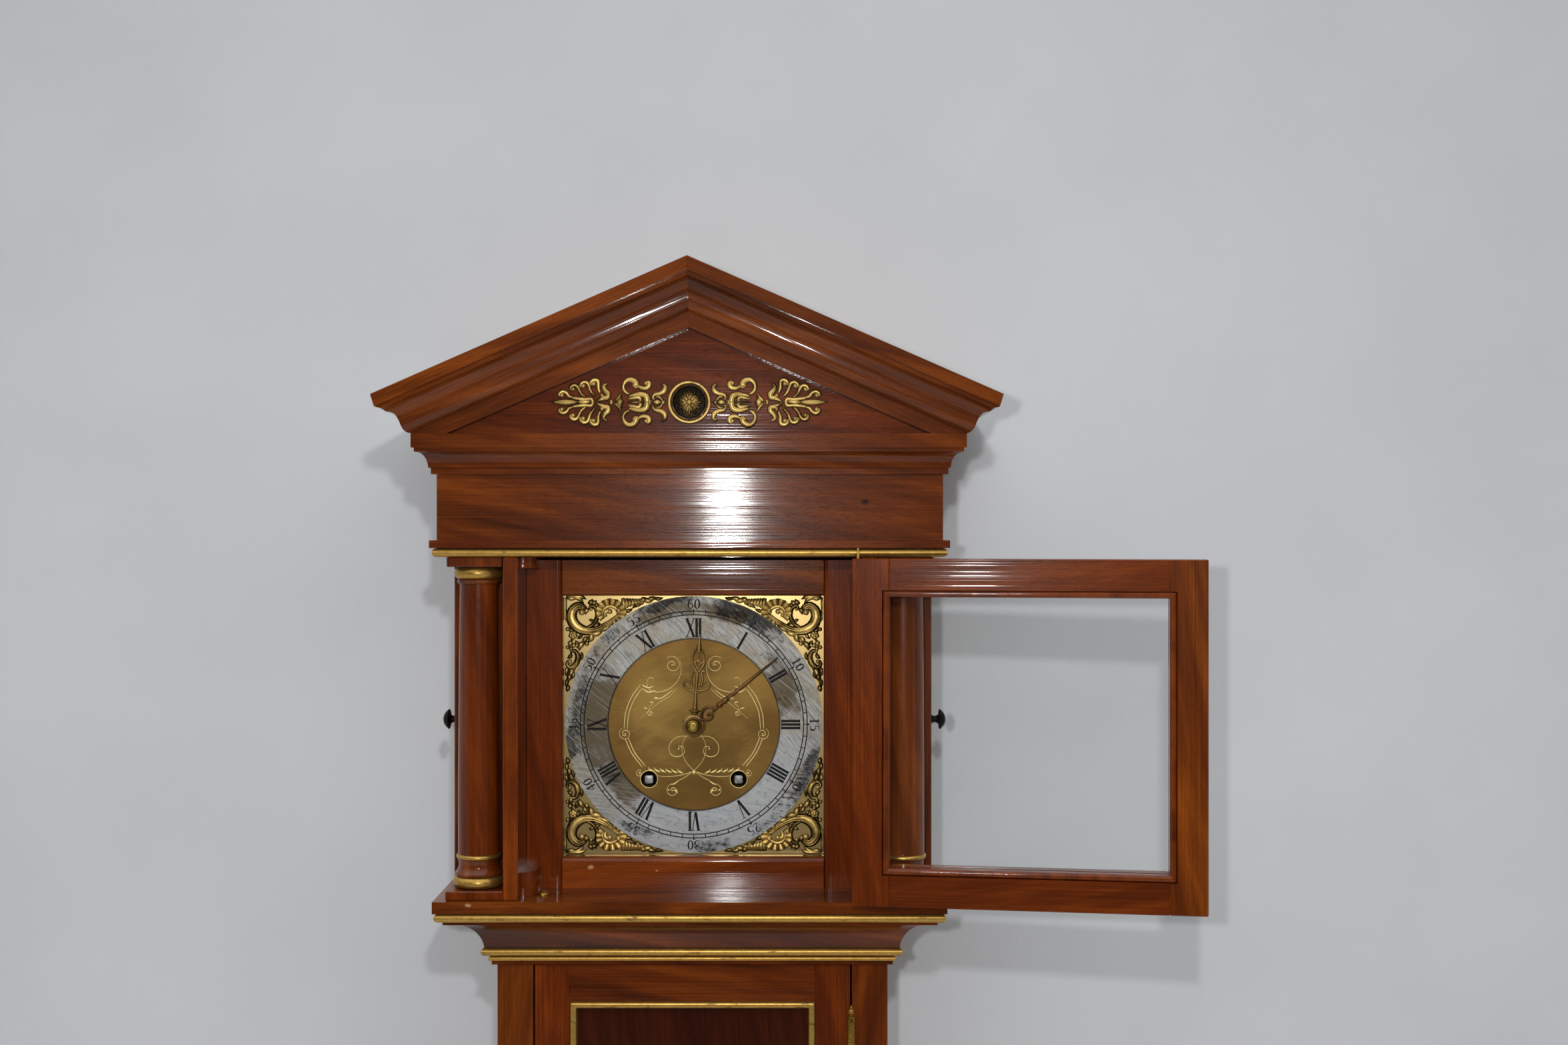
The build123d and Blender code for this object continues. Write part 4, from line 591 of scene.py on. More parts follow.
for barrel in ("going_barrel", "strike_barrel"):
    data = nodes[barrel].data
    data.materials.append(steel)
    for polygon in data.polygons:
        x, y, z = (value / MM for value in polygon.center)
        if y < -20 and math.hypot(abs(x) - WINDING_X, z - WINDING_Z) < ARBOR_RADIUS:
            polygon.material_index = 1


# ======== relief work
def full_turn(count):
    """The angles of equal steps round a circle, in radians."""
    return [TAU * step / count for step in range(count)]


def around(x, z, reach, angle):
    return x + reach * math.cos(angle), z + reach * math.sin(angle)


def smooth_path(points, pieces):
    """Catmull-Rom curve through points of any number of values."""
    points = [np.array(point, float) for point in points]
    ends = [2 * points[0] - points[1]] + points + [2 * points[-1] - points[-2]]
    path = []
    for before, start, stop, after in zip(ends, ends[1:], ends[2:], ends[3:]):
        for step in range(pieces):
            t = step / pieces
            path.append(0.5 * (
                2 * start + (stop - before) * t + (2 * before - 5 * start + 4 * stop - after) * t * t
                + (3 * start - before - 3 * stop + after) * t ** 3
            ))
    return path + [points[-1]]


def with_normals(path):
    """Each point of a path, with the unit vector across the path there."""
    for index, point in enumerate(path):
        along = path[min(index + 1, len(path) - 1)] - path[max(index - 1, 0)]
        yield point, np.array((along[1], -along[0])) / max(math.hypot(along[0], along[1]), 1e-9)


def skin(face, rings, closed=False):
    """Faces from each ring of vertices to the next, and over both ends where the rings don't close."""
    for ring, following in zip(rings, rings[1:] + rings[:1] if closed else rings[1:]):
        for side in range(len(ring)):
            face((ring[side - 1], ring[side], following[side], following[side - 1]))
    if not closed:
        face(rings[0][::-1])
        face(rings[-1])


def add_object(name, data):
    obj = bpy.data.objects.new(name, data)
    bpy.context.collection.objects.link(obj)
    return obj


def add_piece(name, mesh, material, body, replaces=()):
    """Turns a bmesh into a piece that rides on a body and may stand for nodes."""
    bmesh.ops.recalc_face_normals(mesh, faces=mesh.faces)
    data = bpy.data.meshes.new(name)
    mesh.to_mesh(data)
    mesh.free()
    data.materials.append(material)
    obj = add_object(name, data)
    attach(obj, body)
    if replaces:
        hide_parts(*replaces)
    return obj


class Relief:
    """Raised work on an upright face, in millimetres: x to the right, z up and the height out of the face."""

    def __init__(self):
        self.mesh = bmesh.new()
        self.frame = Matrix.Identity(3)
        self.flip = 1

    def turned(self, degrees, x=0, z=0, flip=1):
        """Draws what follows turned clockwise and then moved, and mirrored first where flip is -1."""
        cos, sin = math.cos(math.radians(degrees)), math.sin(math.radians(degrees))
        self.frame = Matrix(((flip * cos, sin, x), (-flip * sin, cos, z), (0, 0, 1)))
        self.flip = flip

    def vertex(self, x, z, height):
        place = self.frame @ Vector((x, z, 1))
        return self.mesh.verts.new((place.x, -height, place.y))

    def face(self, vertices):
        self.mesh.faces.new(vertices if self.flip > 0 else vertices[::-1])

    def tube(self, points, flat=0.8, lift=0, sides=8, pieces=6, gain=1):
        """A round or flattened rod along (x, z, half width) points, its centre line lift above the face."""
        rings = []
        for point, across in with_normals(smooth_path(points, pieces)):
            radius = max(point[2], 0.02) * gain
            rings.append([
                self.vertex(*(point[:2] + across * (radius * math.cos(turn))),
                            lift + flat * radius * math.sin(turn)) for turn in full_turn(sides)
            ])
        skin(self.face, rings)

    def ball(self, x, z, radius, flat=0.8, lift=0):
        skin(self.face, [[
            self.vertex(*around(x, z, radius * math.cos(tilt), turn), lift + flat * radius * math.sin(tilt))
            for turn in full_turn(12)
        ] for tilt in map(math.radians, (-85, -60, -30, 0, 30, 60, 85))])

    def leaf(self, x0, z0, x1, z1, width, bend=0, flat=0.55, lift=0, tip=0.1):
        """A pointed leaf from its root to its tip, bowed sideways by bend of its length."""
        along = np.array((x1 - x0, z1 - z0), float)
        across = np.array((-along[1], along[0]))
        points = []
        for t, share in ((0, 0.35), (0.25, 0.85), (0.5, 1), (0.75, 0.72), (1, tip)):
            place = np.array((x0, z0)) + along * t + across * bend * 4 * t * (1 - t)
            points.append((*place, width * share))
        self.tube(points, flat, lift, pieces=5)

    def slab(self, corners):
        """A flat piece of wax with straight sides."""
        skin(self.face, [[self.vertex(x, z, height) for x, z in corners] for height in (-0.05, WAX)])

    def bar(self, x0, z0, x1, z1, width):
        """A straight stroke of wax of one width."""
        along = Vector((x1 - x0, z1 - z0)).normalized() * (width / 2)
        x, z = -along.y, along.x
        self.slab([(x0 - x, z0 - z), (x1 - x, z1 - z), (x1 + x, z1 + z), (x0 + x, z0 + z)])

    def circle(self, x, z, radius, width, flat=0.8, lift=0, sides=6, steps=96):
        """A closed ring of rod."""
        skin(self.face, [[
            self.vertex(*around(x, z, radius + width * math.cos(turn), angle),
                        lift + flat * width * math.sin(turn)) for turn in full_turn(sides)
        ] for angle in full_turn(steps)], closed=True)

    def build(self, name, material, body, slot, x=0, face_y=0, z=0, smooth=True, replaces=(), crest=2.4):
        """Puts the work on its face, on a body of the model; height runs to 1 at the crest."""
        obj = add_piece(name, self.mesh, material, body, replaces)
        heights = np.array([-vertex.co.y for vertex in obj.data.vertices], np.float32)
        layer = obj.data.attributes.new("height", "FLOAT", "POINT")
        layer.data.foreach_set("value", np.clip(heights / crest, 0, 1))
        obj.data.transform(Matrix.Translation((x, face_y, z)) @ Matrix.Scale(MM, 4))
        obj.data.polygons.foreach_set("use_smooth", [smooth] * len(obj.data.polygons))
        return obj


# ======== chapter ring
NUMERALS = ("XII", "I", "II", "III", "IIII", "V", "VI", "VII", "VIII", "IX", "X", "XI")
NUMERAL_FOOT = 84.6
NUMERAL_TOP = 102.4
TRACK_INNER = 105.9
TRACK_OUTER = 109.5
FIGURE_FOOT = 112
FIGURE_HEIGHT = 8.8
WAX = 0.09                   # height of the black wax above the silver

THICK = 0.084                # half widths of strokes, as shares of the height
THIN = 0.038
FIGURES = {
    "0": [[(0.3 + 0.24 * math.cos(a), 0.5 + 0.48 * math.sin(a), THIN + (THICK - THIN) * abs(math.cos(a)))
           for a in full_turn(16) + [TAU]]],
    "1": [[(0.3, 0, THICK), (0.3, 1, THICK)], [(0.1, 0.86, THIN), (0.3, 0.98, THIN)],
          [(0.1, 0.01, THIN), (0.5, 0.01, THIN)]],
    "2": [[(0.07, 0.76, 0.045), (0.13, 0.92, 0.03), (0.31, 1, THIN), (0.5, 0.86, 0.05), (0.47, 0.62, THICK),
           (0.28, 0.34, 0.04), (0.06, 0.05, THIN)],
          [(0.05, 0.05, 0.02), (0.3, 0.07, 0.05), (0.52, 0.04, 0.03), (0.58, 0.2, THIN)]],
    "3": [[(0.08, 0.84, 0.04), (0.25, 0.99, THIN), (0.46, 0.84, 0.05), (0.42, 0.64, 0.035),
           (0.22, 0.54, THIN)],
          [(0.22, 0.54, THIN), (0.5, 0.46, 0.045), (0.54, 0.22, THICK), (0.34, 0.01, THIN), (0.1, 0.06, 0.03),
           (0.06, 0.2, 0.045)]],
    "4": [[(0.42, 1, THIN), (0.03, 0.32, THIN)], [(0.02, 0.3, THIN), (0.58, 0.3, THIN)],
          [(0.42, 1, THICK), (0.42, 0, THICK)]],
    "5": [[(0.14, 0.98, THIN), (0.1, 0.56, THIN)], [(0.13, 0.96, 0.045), (0.5, 0.99, 0.03)],
          [(0.1, 0.56, THIN), (0.32, 0.62, 0.03), (0.54, 0.42, THICK), (0.5, 0.14, THICK), (0.28, 0, THIN),
           (0.08, 0.1, 0.04)]],
    "6": [[(0.5, 0.9, 0.035), (0.34, 1, THIN), (0.12, 0.72, 0.05), (0.06, 0.36, THICK), (0.16, 0.06, 0.04),
           (0.32, 0, THIN), (0.52, 0.16, 0.05), (0.54, 0.4, 0.05), (0.38, 0.58, THIN), (0.16, 0.48, THIN),
           (0.08, 0.34, THIN)]],
}
FIGURE_ADVANCE = 0.74        # from one figure to the next, gap included, as shares of the height
FIGURE_GAP = 0.14


def roman(ink, numeral):
    """Strokes of one numeral, upright and centred on x = 0."""
    pitch = {"I": 3.35, "V": 7.6, "X": 8.6}
    serif, hair, stem = 0.6, 0.8, 2.4
    serif_reach = 1.75
    x = -sum(pitch[letter] for letter in numeral) / 2
    for letter in numeral:
        wide = pitch[letter]
        middle = x + wide / 2
        half = wide / 2 - 0.9
        if letter == "I":
            ink.bar(middle, NUMERAL_FOOT, middle, NUMERAL_TOP, stem)
            ends = [(middle, NUMERAL_FOOT), (middle, NUMERAL_TOP)]
        elif letter == "V":
            ink.bar(middle - half, NUMERAL_TOP, middle, NUMERAL_FOOT, stem)
            ink.bar(middle + half, NUMERAL_TOP, middle + 0.4, NUMERAL_FOOT, hair)
            ends = [(middle - half, NUMERAL_TOP), (middle + half, NUMERAL_TOP)]
        else:
            ink.bar(middle - half, NUMERAL_TOP, middle + half, NUMERAL_FOOT, stem)
            ink.bar(middle + half, NUMERAL_TOP, middle - half, NUMERAL_FOOT, hair)
            ends = [(middle + side * half, z) for side in (-1, 1) for z in (NUMERAL_FOOT, NUMERAL_TOP)]
        for end_x, end_z in ends:
            ink.bar(end_x - serif_reach, end_z, end_x + serif_reach, end_z, serif)
        x += wide


def minute_figure(ink, text):
    """Arabic figures of a minute, upright and centred on x = 0."""
    size = FIGURE_HEIGHT
    x = -(FIGURE_ADVANCE * len(text) - FIGURE_GAP) / 2
    for figure in text:
        for stroke in FIGURES[figure]:
            points = [(size * (x + px), FIGURE_FOOT + size * pz, size * w) for px, pz, w in stroke]
            ink.tube(points, WAX / (THICK * size), sides=4, pieces=1 if len(points) == 2 else 5)
        x += FIGURE_ADVANCE


def chapter_work():
    ink = Relief()
    for hour, numeral in enumerate(NUMERALS):
        ink.turned(30 * hour)
        roman(ink, numeral)
        minute_figure(ink, str(5 * hour or 60))
        ink.slab([(-1.1, TRACK_OUTER + 1.7), (0, TRACK_OUTER - 1.2), (1.1, TRACK_OUTER + 1.7)])
    for minute in range(60):
        ink.turned(6 * minute)
        ink.bar(0, TRACK_INNER, 0, TRACK_OUTER, 0.85)
    ink.turned(0)
    for radius in (TRACK_INNER, TRACK_OUTER):
        ink.circle(0, 0, radius, 0.5, flat=WAX / 0.5, sides=4, steps=180)
    ink.build("ring_figures", black_wax, "case", "silvered_brass", face_y=ring_low.y, z=dial_z,
              smooth=False)


# ======== engraving of the dial centre
def engraving():
    """Scrolls and strapwork cut into the matted centre, the same on both sides of the middle."""
    cut = Relief()
    fine, bold = 0.32, 0.52

    def line(points, width=fine):
        cut.tube([(x, z, width * w) for x, z, w in points], flat=0.5, sides=6, pieces=7)

    def scroll(x, z, outer, inner, start, sweep):
        """A spiral round (x, z) from one radius to another, angles in degrees anticlockwise from +X."""
        shares = [step / 14 for step in range(15)]
        line([(*around(x, z, outer + (inner - outer) * t, math.radians(start + sweep * t)),
               0.8 + 0.7 * t) for t in shares])
        cut.ball(x, z, 0.8, 0.4)

    for side in (1, -1):
        cut.turned(0, flip=side)
        # strapwork: two parallel bands, bent at a small scroll
        for inset in (0, 3.2):
            line([(51.5 - 0.2 * inset, 38.5 - 1.3 * inset, 1), (60.5 - inset, 26 - 0.5 * inset, 1.2),
                  (66 - inset, 11, 1.2), (67.6 - inset, -5, 1)], bold)
            line([(66.6 - inset, -13.5, 1), (60 - inset, -28, 1.2), (49.8 - inset, -41.5 + 0.3 * inset, 1)],
                 bold)
        scroll(66.4, -9.2, 6.2, 1.4, 60, -560)
        line([(50.4, 38.2, 1.4), (44.5, 35.4, 1.8), (39, 36.6, 0.8)], bold)
        line([(50.4, 34.6, 1), (44, 31.2, 1.8), (36.8, 32.6, 0.8)], bold)
        # upper scrolls, springing from one root under the hour hand
        scroll(21, 57.5, 8.8, 1.6, 50, 520)
        line([(13, 61, 0.6), (12.4, 52, 0.9), (15.2, 43, 1.1), (22, 35.6, 1.3), (30, 32, 1.4),
              (38, 31.4, 1.2), (43.8, 34.6, 1), (45.6, 40.6, 0.8), (43, 45, 0.9), (38.8, 44.4, 1.2)])
        line([(16, 35, 0.6), (24, 27, 1), (33, 21.6, 1), (42, 14, 0.7), (53, 5, 0.4)])
        line([(20, 33.6, 0.6), (27, 28.2, 1.3), (32.6, 25, 1.5), (39, 24.6, 0.6)], bold)
        line([(39.5, 20, 0.8), (42.6, 17, 1.1), (43.4, 13.4, 0.8)])
        scroll(41.8, 11, 3.4, 0.8, 90, -420)
        for x, z in ((36.6, 24.8), (40.8, 20.4), (46.8, 14.6)):
            cut.leaf(x - 2, z, x + 2.4, z + 0.8, 0.75, 0.15, 0.4)
        # lower centre: facing scrolls tied by a loop
        line([(1.2, -8.6, 0.5), (8, -12, 0.9), (11.6, -22, 0.9), (9, -34, 0.9), (0.8, -44, 1),
              (-8.6, -51, 1.1), (-15.4, -54.6, 1.2)])
        line([(3.2, -13, 0.6), (9, -11.4, 0.9), (17.5, -13, 1), (23.6, -20, 1.2), (22.6, -28.6, 1.3),
              (15.4, -31.4, 1.4), (9.4, -27.4, 1), (10.6, -21.8, 0.9), (15.2, -21.6, 1)])
        cut.ball(14.8, -23.6, 0.9, 0.4)
        # leafy band across the foot
        line([(2.4, -46, 1.6), (12, -49, 1), (26, -50.6, 0.9), (36, -49.6, 0.6)])
        for step in range(6):
            x = 10 + 5.6 * step
            z = -45.6 + 0.35 * step
            cut.leaf(x, z - 1.6, x + 6.2, z + 2.6, 0.7, -0.16, 0.4)
            cut.leaf(x + 1, z - 1.8, x + 6.6, z - 0.2, 0.55, 0.18, 0.4)
        scroll(52.6, -47.6, 3.6, 0.9, 120, -430)
        # bottom scrolls
        scroll(20.4, -64, 6.8, 1.5, 100, -470)
        line([(15, -54.8, 0.8), (18.6, -57.2, 1.6), (21.8, -58.4, 0.8)], bold)
        cut.leaf(16, -66.6, 19.8, -63.6, 1.3, 0.2, 0.4)
        cut.ball(24.6, -63.4, 1, 0.4)
    cut.turned(0)
    cut.leaf(0, -44.4, 0, -48.6, 2.2, 0, 0.35)
    for side in (-1, 1):
        cut.circle(side * WINDING_X, -WINDING_DROP, 8.35, 0.5, 0.7, steps=40)
    cut.build("dial_engraving", bright_brass, "case", "dial_brass", face_y=plate_face, z=dial_z)


# ======== cast spandrels
SCROLL = [(19.2, 17, 1.5), (19, 12.6, 2), (13.6, 10.4, 2.8), (8.2, 14.6, 3.4), (6.8, 22, 3.8),
          (10.4, 29.4, 3.8), (17.6, 33.8, 3.4), (26, 34.6, 2.8), (35, 32, 2.4), (44, 26.6, 2),
          (52.4, 19.4, 1.2)]
FROND = [(22.6, 31.4, 1.1), (28.4, 27.6, 1.5), (32, 20, 1.7), (30.2, 12.6, 1.6), (25.6, 10.4, 1.2),
         (24.4, 14, 0.9)]
LOWER = [(5.4, 54.4, 1), (10.6, 54.4, 1.5), (13, 60, 1.9), (11, 66.6, 2), (5.6, 69.8, 1.6), (2.4, 66.6, 1.2),
         (4.6, 63.6, 1.2)]
RODS = [                     # points, flatness and lift: ribs over the shell, and the stems below
    ([(36.4, 19.6, 1), (38.4, 13.4, 1.3), (44, 10.6, 1.3), (50.2, 13, 1.3), (51.4, 17.4, 0.9)], 0.9, 1.7),
    ([(40, 21.4, 0.9), (39.2, 16.6, 1.6), (43.4, 14.4, 1.2)], 0.9, 1.9),
    ([(7, 28.6, 0.8), (5, 33, 0.8), (7.4, 37, 0.8)], 0.8, 0.6),
    ([(9, 40, 0.8), (6.4, 45, 0.8), (5, 50, 0.8), (7.6, 54.6, 0.8)], 0.8, 0.6),
    ([(10.4, 68.4, 0.8), (5.4, 72, 0.9), (3.2, 80, 0.8), (3, 88, 0.6)], 0.8, 0.5),
]
LEAVES = [                   # root and tip, width, bend and lift
    # out of the corner, and round the frond
    (2, 2.2, 21.5, 4.2, 1.9, -0.12, 1.2), (2, 2.2, 19, 9, 1.6, -0.2, 1.2), (2, 2.2, 12, 2.4, 1.4, 0.1, 1.2),
    (2, 2.2, 2.4, 17, 1.6, 0.15, 1.2), (2, 2.2, 3.4, 27, 1.5, 0.12, 1.2), (22.5, 8, 27, 3.6, 1.5, 0.2, 1),
    (25.6, 7.4, 31, 5, 1.5, 0.2, 1), (24, 13, 20.6, 19, 1.5, 0.2, 1), (30, 24.6, 35.2, 27.6, 1.1, 0.2, 1),
    (31.8, 18, 36, 14.2, 1.1, -0.2, 1), (28, 27, 23.4, 24, 1.1, 0.2, 1),
    (28.6, 10.6, 32.6, 7.4, 1.1, 0.15, 1),
    # beyond the ribbon, towards the middle
    (74, 8, 80, 3.4, 1.7, -0.2, 1), (76, 3, 86, 4.6, 1.7, 0.16, 1), (79, 7, 90.5, 3.2, 1.4, -0.14, 1),
    (86, 2.6, 95.5, 2.4, 1.2, 0.12, 0.8), (57, 15.6, 66, 12.8, 1.2, 0.12, 0.9),
    (65.6, 12.6, 74.6, 9.6, 1, -0.1, 0.9),
    # under the scroll, against the ring
    (24, 36.6, 37, 34.2, 1.7, 0.15, 1.2), (33, 33.6, 45, 28.2, 1.5, 0.12, 1.2),
    (25, 36, 22.6, 45.4, 1.9, -0.22, 1.1), (23.6, 41, 19, 47.2, 1.5, 0.25, 1.1),
    (20.2, 45.4, 14.6, 53.8, 1.7, 0.2, 1), (12.6, 42, 16.6, 35.6, 1.1, 0.2, 0.9),
    (14.6, 46.6, 10.6, 43.6, 1.1, -0.2, 0.9), (16.4, 55, 14.4, 63.6, 1.1, -0.15, 0.9),
    (13, 66, 9.2, 74.4, 1.1, 0.15, 0.9), (8.8, 73.4, 6.2, 81.4, 1.1, -0.12, 0.9),
    (11.6, 50.6, 15.2, 48.6, 1.1, 0.1, 0.9),
    # down the side
    (6.6, 56, 2.4, 61, 1.3, -0.2, 0.9), (4.2, 70, 2.4, 78.4, 1.5, 0.2, 0.8),
    (4.2, 75.4, 2.4, 83.6, 1.5, -0.18, 0.8), (4.2, 81, 2.4, 89, 1.5, 0.16, 0.8),
    (4.2, 87, 2.4, 93.6, 1.5, 0, 0.8),
]
BERRIES = [                  # place, radius and lift
    (16.8, 16.4, 2.3, 1.6), (25.8, 13.6, 1.3, 1.6), (43.8, 15.8, 1.9, 1.9), (52.2, 14.4, 1.9, 1.8),
    (71, 9.6, 1.5, 0.9), (83, 3, 1.3, 0.9), (21.6, 46.8, 1.7, 1.3), (8.4, 38.6, 1.6, 2), (3.2, 33, 1.5, 1),
    (5.6, 46.4, 1.8, 1), (9, 48.6, 1.7, 1), (3, 50.4, 1.4, 1), (6.4, 52, 1.5, 1), (5.4, 64.2, 1.5, 1.6),
    (2, 76.6, 1.1, 0.9),
]


def spandrel(cast):
    """One rococo corner, upper right on the dial: x and z run in from the corner as positive lengths."""
    def rod(points, flat, lift):
        cast.tube([(-a, -b, w) for a, b, w in points], flat, lift, 8, 5, 1.45)

    def ridge(points, offset, width, lift):
        """A thin rib that follows a scroll at one side."""
        path = with_normals(smooth_path(points, 3))
        rod([(*(point[:2] + across * offset * point[2]), width) for point, across in path], 0.8, lift)

    def leaf(a0, b0, a1, b1, width, bend, lift):
        cast.leaf(-a0, -b0, -a1, -b1, 1.6 * width, bend, 0.7, lift)

    rod(SCROLL, 0.45, 0.4)
    for offset, width, lift in ((-0.75, 0.75, 1.5), (0, 0.6, 2), (0.75, 0.75, 1.5)):
        ridge(SCROLL[1:], offset, width, lift)
    for points, lift, crest in ((FROND, 0.6, 1.6), (LOWER, 0.7, 1.8)):
        rod(points, 0.6, lift)
        ridge(points, 0, 0.55, crest)
    for row in RODS:
        rod(*row)
    for row in LEAVES:
        leaf(*row)
    for a, b, radius, lift in BERRIES:
        cast.ball(-a, -b, 1.4 * radius, 0.85, lift)
    # pleated shell
    for step in range(12):
        angle = math.radians(252 - 25.5 * step)
        inner = 6.4
        outer = 15.6 if step < 8 else 15.6 - 0.7 * (step - 7)
        a, b = 44.5 - inner * math.cos(angle), 17 - 0.86 * inner * math.sin(angle)
        a1, b1 = 44.5 - outer * math.cos(angle), max(17 - 0.86 * outer * math.sin(angle), 1.8)
        rod([(a, b, 1.1), ((a + a1) / 2, (b + b1) / 2, 1.9), (a1, b1, 2.3)], 0.95, 0.8)
    # ribbon of pleats running on towards the middle
    for step in range(7):
        a = 56.2 + 2.9 * step
        b = 0.15 * step
        rod([(a, 3 + b, 1.1), (a + 1.2, 8 - 0.2 * step, 1.9), (a + 0.2, 13.4 - 1.15 * step, 1.3)], 0.95, 0.9)
    # flower
    for angle in full_turn(5):
        leaf(8.4, 38.6, *around(8.4, 38.6, 4.7, angle + 0.3), 1.7, 0, 1.3)


def spandrels():
    cast = Relief()
    for flip in (1, -1):
        for turn, reach in ((0, SPANDREL_REACH), (180, -SPANDREL_REACH)):
            cast.turned(turn, flip * reach, reach, flip)
            spandrel(cast)
    ring_edge = (ring_high.x - ring_low.x) / 2 / MM + 0.1
    for vertex in cast.mesh.verts:
        outward = max(ring_edge / math.hypot(vertex.co.x, vertex.co.z), 1)
        vertex.co.x = min(max(vertex.co.x * outward, -SPANDREL_EDGE), SPANDREL_EDGE)
        vertex.co.z = min(max(vertex.co.z * outward, -SPANDREL_EDGE), SPANDREL_EDGE)
    cast.build("cast_spandrels", cast_brass, "case", "antique_brass", face_y=plate_face, z=dial_z,
               replaces=("spandrels",), crest=2.9)


# ======== mount of the tympanum
def mount_half(cast, side):
    """Everything to one side of the medallion, drawn on the left."""
    cast.turned(0, flip=-side)

    def pair(points, flat=0.75, lift=0.9, gain=1):
        """A rod above the middle line and its mirror image below."""
        for flip in (1, -1):
            cast.tube([(x, flip * z, w) for x, z, w in points], flat, lift, 8, 6, 1.15 * gain)

    def balls(x, z, radius, lift=1.2):
        cast.ball(x, z, radius, 0.8, lift)
        if z:
            cast.ball(x, -z, radius, 0.8, lift)

    # husk beside the medallion, with two S-leaves
    pair([(25.6, 17.2, 1), (22.4, 14.6, 1.9), (23, 10.6, 2.3), (27, 8, 2), (31.4, 7.2, 1.6),
          (33.6, 4.4, 1.3), (32, 2.4, 1)])
    pair([(31, 5.4, 1), (27.4, 4.6, 1.3), (25, 2, 1.1), (24.6, 0, 0.9)])
    cast.leaf(33.8, 0, 24.6, 0, 2.6, 0, 0.7, 0.8)
    cast.leaf(21.4, 0, 27, 0, 2.4, 0, 0.6, 0.6)
    balls(36.2, 0.6, 1.7)
    # lyre: a thick U, its ends curled inwards, and a long S-scroll above and below
    pair([(55.4, 5.6, 1.3), (50, 6.8, 1.9), (44.6, 7.4, 2.4), (39.8, 5.4, 2.8), (38.4, 0, 2.8)])
    pair([(56.4, 3, 0.9), (51.4, 3.8, 1.4), (47, 4.6, 1.7), (44.6, 2.2, 1.4), (46.6, 0.9, 0.9)], lift=1.2)
    cast.leaf(41.6, 0, 58, 0, 1.2, 0, 0.7, 0.8)
    pair([(55, 7.4, 1.2), (59, 9.8, 1.5), (60.6, 14, 1.7), (59, 18.6, 2), (55.2, 21, 2.3), (50.6, 19.4, 2.7),
           (48.8, 15.4, 2.9), (51, 13.6, 1.6)])
    pair([(49.8, 18.4, 1.1), (46.4, 14.6, 1.5), (42.6, 12.9, 1.9), (38.4, 13.6, 2.2), (36.6, 16.8, 2.2),
          (38.8, 19, 1.9)])
    balls(39.6, 17.6, 2.1, 1.6)
    balls(50.4, 15.4, 2, 2)
    # husk between lyre and palmette
    for tip_z, width in ((0, 2.2), (5.6, 1.7), (9.4, 1.3)):
        for rise in (1, -1):
            cast.leaf(67.6, 0.4 * rise, 59.6 + 0.35 * tip_z, tip_z * rise, width, 0.12 * rise, 0.7, 0.9)
    pair([(67.8, 1.2, 1.3), (64.6, 4.6, 1.4), (62.4, 8.4, 1)])
    balls(71.6, 0.8, 1.7)
    # foliage at the palmette's root
    pair([(75.2, 17.4, 0.9), (78.6, 15, 1.5), (77.6, 11.2, 2.1), (74.6, 7.8, 2.5), (75.4, 4.4, 2.3),
          (79.6, 4.8, 2), (80.8, 7.2, 1.5)])
    pair([(75.4, 3.4, 1.5), (80.4, 3, 1.7), (84, 1.2, 1.3), (84.6, 0, 1)])
    balls(80.2, 6.4, 1.6, 1.8)
    # heart of the palmette
    pair([(88.4, 0, 1.4), (90.2, 3, 1.5), (95.6, 2.8, 1.4), (101, 3.2, 1.5), (107.6, 4.2, 1.1)], lift=1.4)
    cast.leaf(90, 0.6, 104, 0, 2.3, 0, 0.7, 1.2)
    cast.leaf(102, 0, 127, 0.2, 2.9, 0, 0.7, 1.1, 0.12)
    cast.leaf(104, 0, 124, 0.1, 1, 0, 0.9, 2.4, 0.2)
    # curled lobes, four above and four below
    for curl_x, curl_z, stem_x, stem_z, size in ((117.4, 6.4, 106.6, 4.6, 1), (107.2, 12, 95.4, 4.4, 1),
                                                 (97.8, 15, 86.6, 5.6, 1.05), (88.4, 17, 81.8, 8.4, 1.1)):
        pair([(curl_x - 0.6, curl_z - 1.6, 1.2), (curl_x + 2, curl_z + 0.8, 1.8),
              (curl_x - 0.6, curl_z + 3.6, 1.9), (curl_x - 4.4, curl_z + 2.4, 1.7),
              ((curl_x + stem_x) / 2 - 1.6, (curl_z + stem_z) / 2, 1.5), (stem_x, stem_z, 1.2)], gain=size)
        balls(curl_x - 0.4, curl_z + 0.2, 2.1 * size, 1.6)


def mount():
    cast = Relief()
    for side in (-1, 1):
        mount_half(cast, side)
    cast.turned(0)
    cast.circle(0, 0, 18.4, 1.7, 0.95, 1.2, 10, 72)
    cast.circle(0, 0, 15.4, 0.6, 0.8, 1.2, 6, 72)
    cast.ball(0, 0, 16.4, 0.03, 0.1)
    for count, reach, width, lift, offset in ((12, 13.6, 2.2, 0.2, 0), (12, 10, 1.7, 1, 15),
                                              (8, 6, 1.3, 1.8, 0)):
        for petal in range(count):
            angle = math.radians(360 / count * petal + offset)
            for start, tip, wide, flat, rise in ((2, reach, width, 0.5, lift),
                                                 (2.4, 0.92 * reach, 0.3 * width, 0.9, lift + 0.45 * width)):
                cast.leaf(*around(0, 0, start, angle), *around(0, 0, tip, angle), wide, 0, flat, rise)
    cast.ball(0, 0, 2.4, 0.8, 2.2)
    low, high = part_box("tympanum_mount")
    cast.build("tympanum_ornament", cast_brass, "hood", "antique_brass", face_y=high.y,
               z=(low.z + high.z) / 2, replaces=("tympanum_mount",), crest=2.5)


